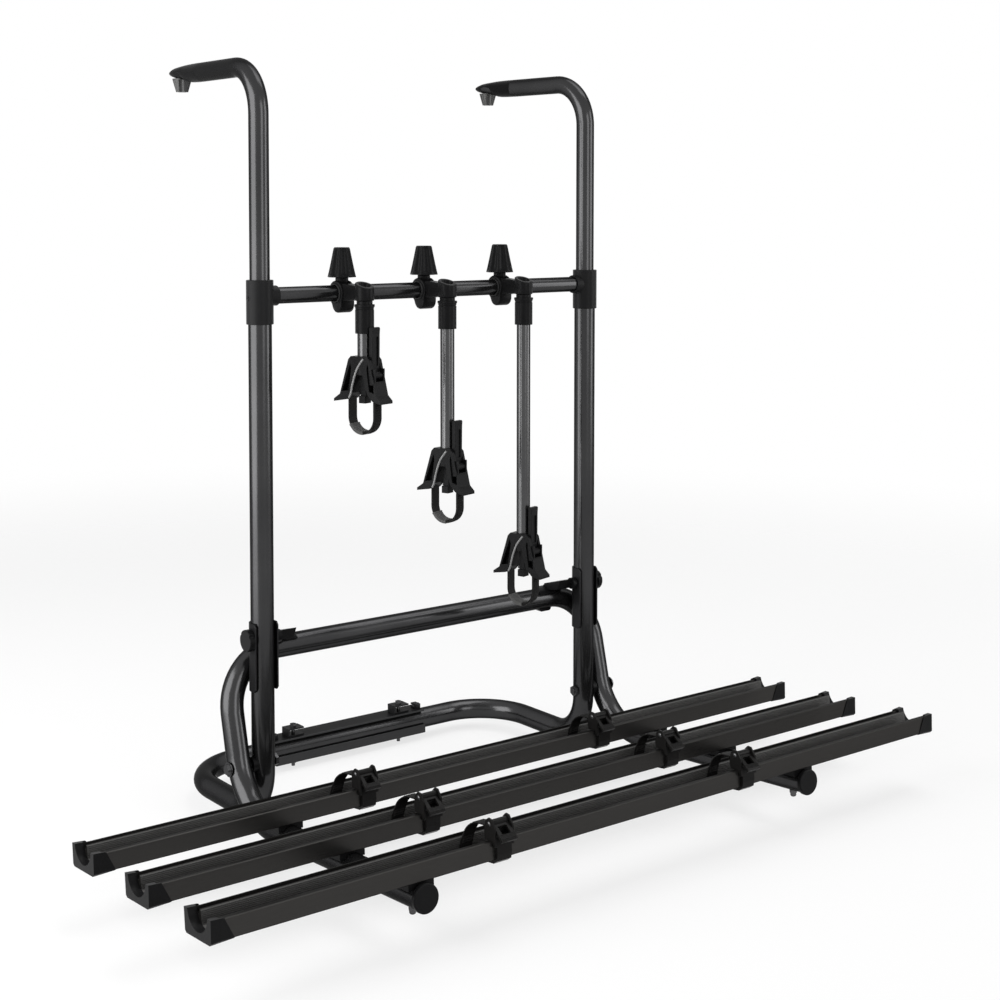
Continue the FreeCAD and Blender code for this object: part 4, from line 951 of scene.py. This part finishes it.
@dataclass
class HookCovers:
    """Black covers that fill out the flattened ends of the two hooks.

    The sections and the stretch with the flat underside are in millimetres: place along the hook, width,
    top and low line.
    """

    post_x: float = 315.5 * MM
    post_y: float = -282.5 * MM
    axis_z: float = 1125.0 * MM
    toe_in: float = math.radians(2.2)
    flat: float = -5.9 * MM
    flat_from: float = 235.0
    flat_to: float = 276.0
    flat_play: float = 0.3 * MM
    open_from: float = 240.0 * MM
    points: int = 41
    steps: int = 36
    sections: tuple[tuple[float, float, float, float], ...] = (
        (178.0, 29.4, 14.7, -14.7), (190.0, 30.8, 14.9, -14.8), (205.0, 31.8, 14.9, -14.6),
        (227.0, 33.8, 14.4, -13.0), (242.0, 34.8, 13.4, -6.5), (262.0, 34.8, 11.9, -6.5),
        (270.0, 32.4, 10.2, -5.0), (276.0, 29.0, 8.6, -3.6), (279.0, 25.8, 7.0, -1.8))

    def cover(self, hand: Hand) -> None:
        """Cover of one hook, open under the knob.

        Args:
            hand: Which hook.
        """
        post = Matrix.Translation((hand.value * self.post_x, self.post_y, self.axis_z))
        mould = Mould(post @ Matrix.Rotation(hand.value * self.toe_in, 4, "Z"))
        columns = [spline_through([(row[0], row[k]) for row in self.sections], self.points)
                   for k in (1, 2, 3)]
        rings = []
        for (y, wide), (_, top), (_, low) in zip(*columns):
            middle, tall = (top + low) / 2, (top - low) / 2
            ring = []
            for k in range(self.steps):
                a = FULL_TURN * k / self.steps
                z = middle + tall * math.sin(a)
                if self.flat_from < y < self.flat_to:
                    z = max(z, self.flat / MM)
                ring.append((wide / 2 * math.cos(a) * MM, y * MM, z * MM))
            rings.append(ring)
        mould.loft(rings)
        back = mould.place.inverted()
        spots = [(face, back @ face.calc_center_median()) for face in mould.mesh.faces]
        under = [face for face, spot in spots
                 if spot.z < self.flat + self.flat_play and spot.y > self.open_from]
        bmesh.ops.delete(mould.mesh, geom=under, context="FACES")
        side = hand.name.lower()
        mould.piece(f"{side}_hook_cover", HOOK_DIP, f"hook_{side}", "black_plastic")

    def build(self) -> None:
        """Build both covers."""
        for hand in Hand:
            self.cover(hand)


@dataclass
class HolderClamps:
    """Narrow moulded clamps round the crossbar and their deep-fluted knobs.

    The knob's levels, insets and flutes are in millimetres: rings by height, how far some of them are
    drawn in, and how deep the flutes are at the foot, on the wall and at the crown.
    """

    holders: HolderFrame
    half: float = 12.5 * MM
    bore: float = 14.55 * MM
    ring: float = 19.4 * MM
    rounding: tuple[Point, ...] = (mm(0.0, 2.2), mm(0.8, 0.6), mm(2.4, 0.0))
    lobe: float = 13.0 * MM
    lobe_at: Point = mm(-4.0, -17.0)
    neck: float = 10.0 * MM
    neck_low: float = 16.0 * MM
    neck_top: float = 24.0 * MM
    neck_edge: float = 0.8 * MM
    bridge_from: float = -15.0 * MM
    bridge_tops: Point = mm(15.0, 13.0)
    bridge_low: float = -12.0 * MM
    bridge_past: float = 11.0 * MM
    bridge_half: float = 9.5 * MM
    boss: Point = mm(14.5, -9.0)
    boss_tops: Point = mm(10.0, 20.0)
    recess: Point = mm(9.2, -2.0)
    boss_hole: float = 3.2 * MM
    boss_rim: float = 1.2 * MM
    edge: float = 1.0 * MM
    stud: float = 4.1 * MM
    knob_gap: float = 0.3 * MM
    liner_radii: Point = mm(12.8, 14.2)
    liner_past: float = 1.6 * MM
    knob_low: float = 22.5 * MM
    knob_top: float = 12.5 * MM
    knob_high: float = 45.5 * MM
    knob_taper: float = 0.9
    flutes: int = 8
    flute_shape: float = 0.75
    flute_foot: Point3 = (1.4, 0.5, 5.0)
    flute_wall: Point = (4.6, 1.9)
    flute_crown: Point = (43.0, 0.9)
    insets: tuple[Point, ...] = ((0.0, 0.4), (44.6, 0.4), (45.5, 1.2))
    knob_steps: int = 96
    boss_steps: int = 40
    liner_steps: int = 48
    steps: int = 72
    smoothing: int = 3
    levels: tuple[float, ...] = (0.0, 0.8, 2.2, 4.0, 6.0, 9.0, 14.0, 20.0, 27.0, 34.0, 40.0, 43.0, 44.6,
                                 45.5)

    def reach(self, turn: float) -> float:
        """Outer radius of the band, with the lobe under the bar.

        Args:
            turn: Angle from +Y towards +Z.

        Returns:
            The radius in that direction.
        """
        way = Vector((math.cos(turn), math.sin(turn)))
        spot = Vector(self.lobe_at)
        along = way.dot(spot)
        left = spot.length_squared - along ** 2
        if along <= 0 or left >= self.lobe ** 2:
            return self.ring
        return max(self.ring, along + math.sqrt(self.lobe ** 2 - left))

    def clamp(self, number: int) -> None:
        """Band, neck, bridge and boss of one clamp.

        Args:
            number: Holder, 1 to 3 from the left.
        """
        frames = self.holders
        x, y, z = frames.xs[number - 1], frames.crossbar_y, frames.crossbar_z
        mould = Mould(Matrix.Translation((x, y, z)))
        outer = [self.reach(FULL_TURN * k / self.steps) for k in range(self.steps)]
        for _ in range(self.smoothing):
            outer = [(outer[k - 1] + 2 * outer[k] + outer[(k + 1) % self.steps]) / 4
                     for k in range(self.steps)]
        rings = []
        for k, far in enumerate(outer):
            a = FULL_TURN * k / self.steps
            side = [(-self.half, self.bore)]
            side += [(inward - self.half, far - down) for inward, down in self.rounding]
            rings.append(band_ring(Vector(), Vector((0, math.cos(a), math.sin(a))), side))
        mould.loft(rings, closed=True)
        mould.lathe([(self.stud, self.neck_low), (self.neck, self.neck_low),
                     (self.neck, self.neck_top - self.edge), (self.neck - self.neck_edge, self.neck_top),
                     (self.stud, self.neck_top)])
        arm = frames.y - y
        radius, low = self.boss
        start, end = self.bridge_from, arm + self.bridge_past
        mould.prism([(start, self.bridge_tops[0]), (end, self.bridge_tops[1]), (end, low + self.edge),
                     (start, self.bridge_low)], -self.bridge_half, self.bridge_half, self.edge)
        mould.at(Matrix.Translation((x, frames.y, z)))
        front, back = self.boss_tops
        deep, floor = self.recess
        rows = []
        for r, height in ((self.boss_hole, low), (radius - self.edge, low), (radius, low + self.edge),
                          (radius, None), (radius - self.boss_rim, None), (deep, None),
                          (deep, floor), (self.boss_hole, floor)):
            row = []
            for x_at, y_at, _ in circle(r, 0.0, self.boss_steps):
                slope = front + (back - front) * (y_at / radius + 1) / 2
                edge = -self.edge if r == radius else 0.0
                row.append((x_at, y_at, slope + edge if height is None else height))
            rows.append(row)
        mould.loft(rows, closed=True)
        made = mould.piece(f"holder_{number}_moulded_clamp", BLACK_PLASTIC,
                           f"holder_{number}_clamp_body", "black_plastic", SOFT_EDGE)
        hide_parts(f"holder_{number}_clamp")

    def flute(self, level: float) -> float:
        """Depth of the knob's flutes.

        Args:
            level: Height on the knob in millimetres.

        Returns:
            The depth in millimetres.
        """
        first, growth, until = self.flute_foot
        start, slope = self.flute_crown
        if level < until:
            return first + growth * level
        if level >= start:
            return (self.levels[-1] - level) * slope
        deep, less = self.flute_wall
        return deep - less * (level * MM / self.knob_high)

    def knob(self, number: int) -> None:
        """Deep-fluted knob with a scalloped rim.

        Args:
            number: Holder, 1 to 3 from the left.
        """
        frames = self.holders
        base = frames.crossbar_z + self.neck_top + self.knob_gap
        mould = Mould(Matrix.Translation((frames.xs[number - 1], frames.crossbar_y, base)))
        rings = []
        for level in self.levels:
            share = level * MM / self.knob_high
            plain = self.knob_low + (self.knob_top - self.knob_low) * share ** self.knob_taper
            plain -= dict(self.insets).get(level, 0.0) * MM
            row = []
            for k in range(self.knob_steps):
                a = FULL_TURN * k / self.knob_steps
                wave = 0.5 - 0.5 * math.cos(self.flutes * a)
                r = plain - self.flute(level) * MM * wave ** self.flute_shape
                row.append((r * math.cos(a), r * math.sin(a), level * MM))
            rings.append(row)
        mould.loft(rings)
        made = mould.piece(f"holder_{number}_fluted_knob", BLACK_PLASTIC, f"holder_{number}_grip",
                           "black_plastic")
        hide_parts(f"holder_{number}_knob")

    def liner(self, number: int) -> None:
        """Thin bush that shows at both sides of the clamp.

        Args:
            number: Holder, 1 to 3 from the left.
        """
        frames = self.holders
        place = Matrix.Translation((frames.xs[number - 1], frames.crossbar_y, frames.crossbar_z))
        mould = Mould(place @ Matrix.Rotation(math.pi / 2, 4, "Y"))
        inner, outer = self.liner_radii
        half = self.half + self.liner_past
        profile = ((inner, -half), (outer, -half), (outer, half), (inner, half))
        mould.loft([circle(r, height, self.liner_steps) for r, height in profile], closed=True)
        made = mould.piece(f"holder_{number}_thin_bush", LINER_PLASTIC, f"holder_{number}_bush",
                           "liner_plastic")
        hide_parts(f"holder_{number}_liner")

    def build(self) -> None:
        """Build the clamps, knobs and bushes of all holders."""
        for number in HOLDERS:
            self.clamp(number)
            self.knob(number)
            self.liner(number)


@dataclass
class HolderLoops:
    """Strap loop of each holder: a toothed band and a ribbed rubber sleeve."""

    holders: HolderFrame
    radius: float = 26.0 * MM
    low: float = -118.0 * MM
    top: float = -58.0 * MM
    thick: float = 2.4 * MM
    width: float = 17.0 * MM
    tooth: float = 2.6 * MM
    tooth_high: float = 0.6 * MM
    tooth_in: Point = mm(3.0, 3.4)
    points: int = 151
    sleeve_from: float = math.radians(-8.0)
    sleeve_to: float = math.radians(62.0)
    sleeve_thick: float = 5.4 * MM
    sleeve_width: float = 19.0 * MM
    sleeve_proud: float = 0.4 * MM
    sleeve_rib: float = 0.55 * MM
    rib_every: int = 4
    sleeve_edges: Point = mm(1.0, 0.6)
    sleeve_steps: int = 36
    flare: float = 0.5 * MM
    flared: int = 3
    sunk: float = 1.5 * MM

    def loop_line(self) -> list[tuple[Vector, Vector]]:
        """Points and outward directions along the loop, from its far limb to its near limb.

        Returns:
            Pairs of point and outward direction.
        """
        middle = self.low + self.radius
        r = self.radius - self.sunk
        straight = self.top - middle
        arc = math.pi * r
        total = 2 * straight + arc
        made = []
        for k in range(self.points):
            s = total * k / (self.points - 1)
            if s < straight:
                made.append((Vector((0, r, self.top - s)), Vector((0, 1, 0))))
            elif s > straight + arc:
                rise = s - straight - arc
                made.append((Vector((0, -r, middle + rise)), Vector((0, -1, 0))))
            else:
                a = (s - straight) / r
                out = Vector((0, math.cos(a), -math.sin(a)))
                made.append((Vector((0, 0, middle)) + out * r, out))
        return made

    def band(self, number: int) -> None:
        """Toothed band of one holder.

        Args:
            number: Holder, 1 to 3 from the left.
        """
        mould = Mould(self.holders.jaw(number))
        half, thick = self.width / 2, self.thick / 2
        flank, crest = (half - more for more in self.tooth_in)
        line = self.loop_line()
        rings = []
        travelled = 0.0
        for i, (point, out) in enumerate(line):
            travelled += (point - line[max(i - 1, 0)][0]).length
            share = (travelled / self.tooth) % 1.0
            high = thick + self.tooth_high * (1.0 if share < 0.5 else 0.0)
            rings.append(band_ring(point, out, [(half, -thick), (half, thick), (flank, thick),
                                                (crest, high)]))
        mould.loft(rings, smooth=False)
        piece = mould.piece(f"holder_{number}_toothed_band", STRAP_RUBBER,
                            f"holder_{number}_drop", "strap_rubber")
        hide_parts(f"holder_{number}_strap")

    def sleeve(self, number: int) -> None:
        """Ribbed sleeve round the bottom of one loop.

        Args:
            number: Holder, 1 to 3 from the left.
        """
        mould = Mould(self.holders.jaw(number))
        middle = Vector((0, 0, self.low + self.radius))
        steps = self.sleeve_steps
        inside, outside = self.sleeve_edges
        outer = self.radius + self.sleeve_proud
        rings = []
        for k in range(steps + 1):
            a = self.sleeve_from + (self.sleeve_to - self.sleeve_from) * (k / steps)
            out = Vector((0, math.sin(-a + math.pi), -math.cos(a)))
            rib = self.sleeve_rib if k % self.rib_every < self.rib_every / 2 else 0.0
            flare = self.flare if k < self.flared or k > steps - self.flared else 0.0
            inner = self.radius - self.sleeve_thick + rib
            wide = self.sleeve_width / 2 + flare
            rings.append(band_ring(middle, out, [
                (wide - inside, inner), (wide, inner + inside), (wide, outer - outside),
                (wide - outside, outer)]))
        mould.loft(rings, smooth=False)
        mould.piece(f"holder_{number}_ribbed_sleeve", PAD_RUBBER, f"holder_{number}_drop",
                    "strap_rubber")

    def build(self) -> None:
        """Build the loops of all holders."""
        for number in HOLDERS:
            self.band(number)
            self.sleeve(number)


@dataclass
class JawTrim:
    """Light grey beads on the cheeks of the holders' jaws, a painted highlight on their inner edges, and
    heads of their ratchet pins.
    """

    holders: HolderFrame
    half: float = 14.0 * MM
    lip_r: float = 1.6 * MM
    lip_points: int = 33
    lip_steps: int = 10
    pin_out: float = 23.0 * MM
    pin_drop: float = 28.0 * MM
    housing_half: float = 11.5 * MM
    head_steps: int = 20
    pin_head: tuple[Point, ...] = (mm(0.0, 1.2), mm(1.6, 1.1), mm(3.0, 0.7), mm(3.4, 0.0),
                                   mm(3.4, -0.6), mm(0.0, -0.6))
    lip_line: tuple[Point, ...] = (mm(-9.0, -3.0), mm(-3.0, -10.0), mm(3.5, -19.0), mm(8.8, -31.0),
                                   mm(13.0, -44.0), mm(16.0, -56.0), mm(19.5, -63.0))

    def highlight_beads(self, number: int) -> None:
        """Beads along the inner edge of the far cheek, one on each face, in light grey as a painted
        highlight on that edge.

        Args:
            number: Holder, 1 to 3 from the left.
        """
        mould = Mould(self.holders.jaw(number))
        inner = spline_through(self.lip_line, self.lip_points)
        for side in (-1, 1):
            path = [Vector((side * self.half, y, z)) for y, z in inner]
            mould.bar(path, self.lip_r, self.lip_steps)
        # The beads' light grey finish is a painted highlight on the black cheek edges.
        mould.piece(f"holder_{number}_jaw_lips", PAINTED_HIGHLIGHT_BEAD, f"holder_{number}_drop",
                    "black_plastic")

    def pins(self, number: int) -> None:
        """Heads of the ratchet pin on both sides of the housing.

        Args:
            number: Holder, 1 to 3 from the left.
        """
        mould = Mould()
        for side in (-1, 1):
            spot = Matrix.Translation((side * self.housing_half, -self.pin_out, -self.pin_drop))
            mould.at(self.holders.jaw(number) @ spot
                     @ Matrix.Rotation(side * math.pi / 2, 4, "Y"))
            mould.lathe(self.pin_head, self.head_steps)
        mould.piece(f"holder_{number}_ratchet_pin", DARK_ZINC, f"holder_{number}_drop",
                    "bolt_steel")

    def build(self) -> None:
        """Build the trim of all holders."""
        for number in HOLDERS:
            self.highlight_beads(number)
            self.pins(number)


@dataclass
class Studio:
    """Floor, lamps, world and camera."""

    focal: float = 61.432
    sensor: float = 36.0
    eye: Point3 = (-1.5753, -2.4887, 0.9252)
    yaw: float = math.radians(37.67)
    pitch: float = math.radians(3.36)
    roll: float = math.radians(0.03)
    shift: Point = (0.0025, -0.1987)
    ambient: float = 0.3
    floor_size: float = 6.0
    floor_tone: float = 0.86
    floor_glow: float = 0.72
    fade: Point = (1.3, 3.4)
    low_gap: float = 0.03
    clip: Point = (0.05, 60.0)
    centre: Point3 = (0.0, -0.35, 0.45)

    def camera(self) -> None:
        """Camera at the photograph's angle."""
        lens = bpy.data.cameras.new("view")
        lens.lens = self.focal
        lens.sensor_width = self.sensor
        lens.shift_x, lens.shift_y = self.shift
        lens.clip_start, lens.clip_end = self.clip
        eye = in_scene("view", lens)
        turn = (Matrix.Rotation(-self.yaw, 4, "Z")
                @ Matrix.Rotation(math.pi / 2 - self.pitch, 4, "X")
                @ Matrix.Rotation(self.roll, 4, "Z"))
        eye.matrix_world = Matrix.Translation(self.eye) @ turn
        bpy.context.scene.camera = eye
        LOG.info("camera at %s, lens %.1f mm", self.eye, self.focal)

    def world(self) -> None:
        """White background for camera, gloss and glass; a plain level for all else."""
        world = bpy.data.worlds.new("studio")
        bpy.context.scene.world = world
        world.use_nodes = True
        book = NodeBook(world.node_tree)
        book.tree.nodes.clear()
        lit, seen = (book.add("ShaderNodeBackground", {"Color": WHITE, "Strength": strength})
                     for strength in (self.ambient, 1.0))
        share = book.any_ray("Is Camera Ray", "Is Glossy Ray", "Is Transmission Ray")
        both = book.mix_shaders(share, lit.outputs["Background"], seen.outputs["Background"])
        book.add("ShaderNodeOutputWorld", {"Surface": both})

    def floor(self, height: float) -> None:
        """Plain pale floor that goes over into the white background.

        Args:
            height: Where the object stands.
        """
        mould = bmesh.new()
        bmesh.ops.create_grid(mould, x_segments=2, y_segments=2, size=self.floor_size)
        data = bpy.data.meshes.new("floor")
        mould.to_mesh(data)
        mould.free()
        floor = in_scene("floor", data)
        floor.location = (0.0, 0.0, height)
        data.materials.append(self.floor_white())

    def floor_white(self) -> bpy.types.Material:
        """Matt white that shows as nearly plain white, and fades out far from the object.

        Returns:
            The material.
        """
        made = bpy.data.materials.new("floor_white")
        made.use_nodes = True
        book = NodeBook(made.node_tree)
        book.tree.nodes.clear()
        tone = self.floor_tone
        matt = book.add("ShaderNodeBsdfDiffuse", {"Color": (tone, tone, tone, 1.0)})
        glow = book.add("ShaderNodeEmission", {"Strength": 1.0})
        share = book.add("ShaderNodeMath", {0: book.any_ray("Is Camera Ray", "Is Glossy Ray"),
                                            1: self.floor_glow}, operation="MULTIPLY")
        near = book.mix_shaders(share.outputs["Value"], matt.outputs["BSDF"],
                                glow.outputs["Emission"])
        spot = book.add("ShaderNodeTexCoord").outputs["Object"]
        reach = book.add("ShaderNodeVectorMath", {0: spot}, operation="LENGTH").outputs["Value"]
        start, end = self.fade
        far = book.add("ShaderNodeMapRange", {"Value": reach, "From Min": start, "From Max": end},
                       interpolation_type="SMOOTHSTEP")
        clear = book.add("ShaderNodeBsdfTransparent")
        shown = book.mix_shaders(far.outputs["Result"], near, clear.outputs["BSDF"])
        book.add("ShaderNodeOutputMaterial", {"Surface": shown})
        return made

    def lamp(self, name: str, place: Point3, aim: Point3, size: Point, power: float) -> None:
        """One softbox.

        Args:
            name: Name of the lamp.
            place: Where it hangs.
            aim: Point that it faces.
            size: Width and height.
            power: Watts.
        """
        light = bpy.data.lights.new(name, "AREA")
        light.shape = "RECTANGLE"
        light.size, light.size_y = size
        light.energy = power
        lamp = in_scene(name, light)
        way = Vector(place) - Vector(aim)
        lamp.rotation_euler = way.to_track_quat("Z", "Y").to_euler()
        lamp.location = place

    def build(self, height: float) -> None:
        """Set up the whole studio.

        Args:
            height: Where the object stands.
        """
        self.camera()
        self.world()
        self.floor(height)
        self.lamp("side", (-2.3, 0.0, 1.25), (0.0, -0.2, 0.9), (2.3, 2.4), 90.0)
        self.lamp("low", (-1.8, -0.1, height + self.low_gap), (-1.7, -0.1, 1.0), (1.5, 2.2), 26.0)
        self.lamp("front", (0.1, -4.5, 1.6), self.centre, (1.6, 2.6), 45.0)
        self.lamp("right", (2.7, -2.5, 1.35), (0.0, -0.3, 1.1), (1.2, 2.5), 42.0)
        self.lamp("top", (1.5, -0.2, 3.9), self.centre, (2.6, 2.2), 60.0)
        bpy.context.scene.view_settings.view_transform = "Standard"


def clear_start_objects() -> None:
    """Remove what a new Blender file starts with."""
    for name in ("Cube", "Light", "Camera"):
        found = bpy.data.objects.get(name)
        if found is not None:
            bpy.data.objects.remove(found)


def main() -> None:
    """Build the sub-assemblies in order, then the studio."""
    logging.basicConfig(level=logging.INFO, format="%(name)s: %(message)s")
    clear_start_objects()
    rails = RailFrame()
    holders = HolderFrame()
    Skins().dress()
    WideRails(rails).build()
    WheelStraps(rails).build()
    Buckles(rails).build()
    HookCovers().build()
    HolderClamps(holders).build()
    HolderLoops(holders).build()
    JawTrim(holders).build()
    Studio().build(min(CAD_BOX[0][2], CAD_BOX[1][2]))


if __name__ == "__main__":
    main()
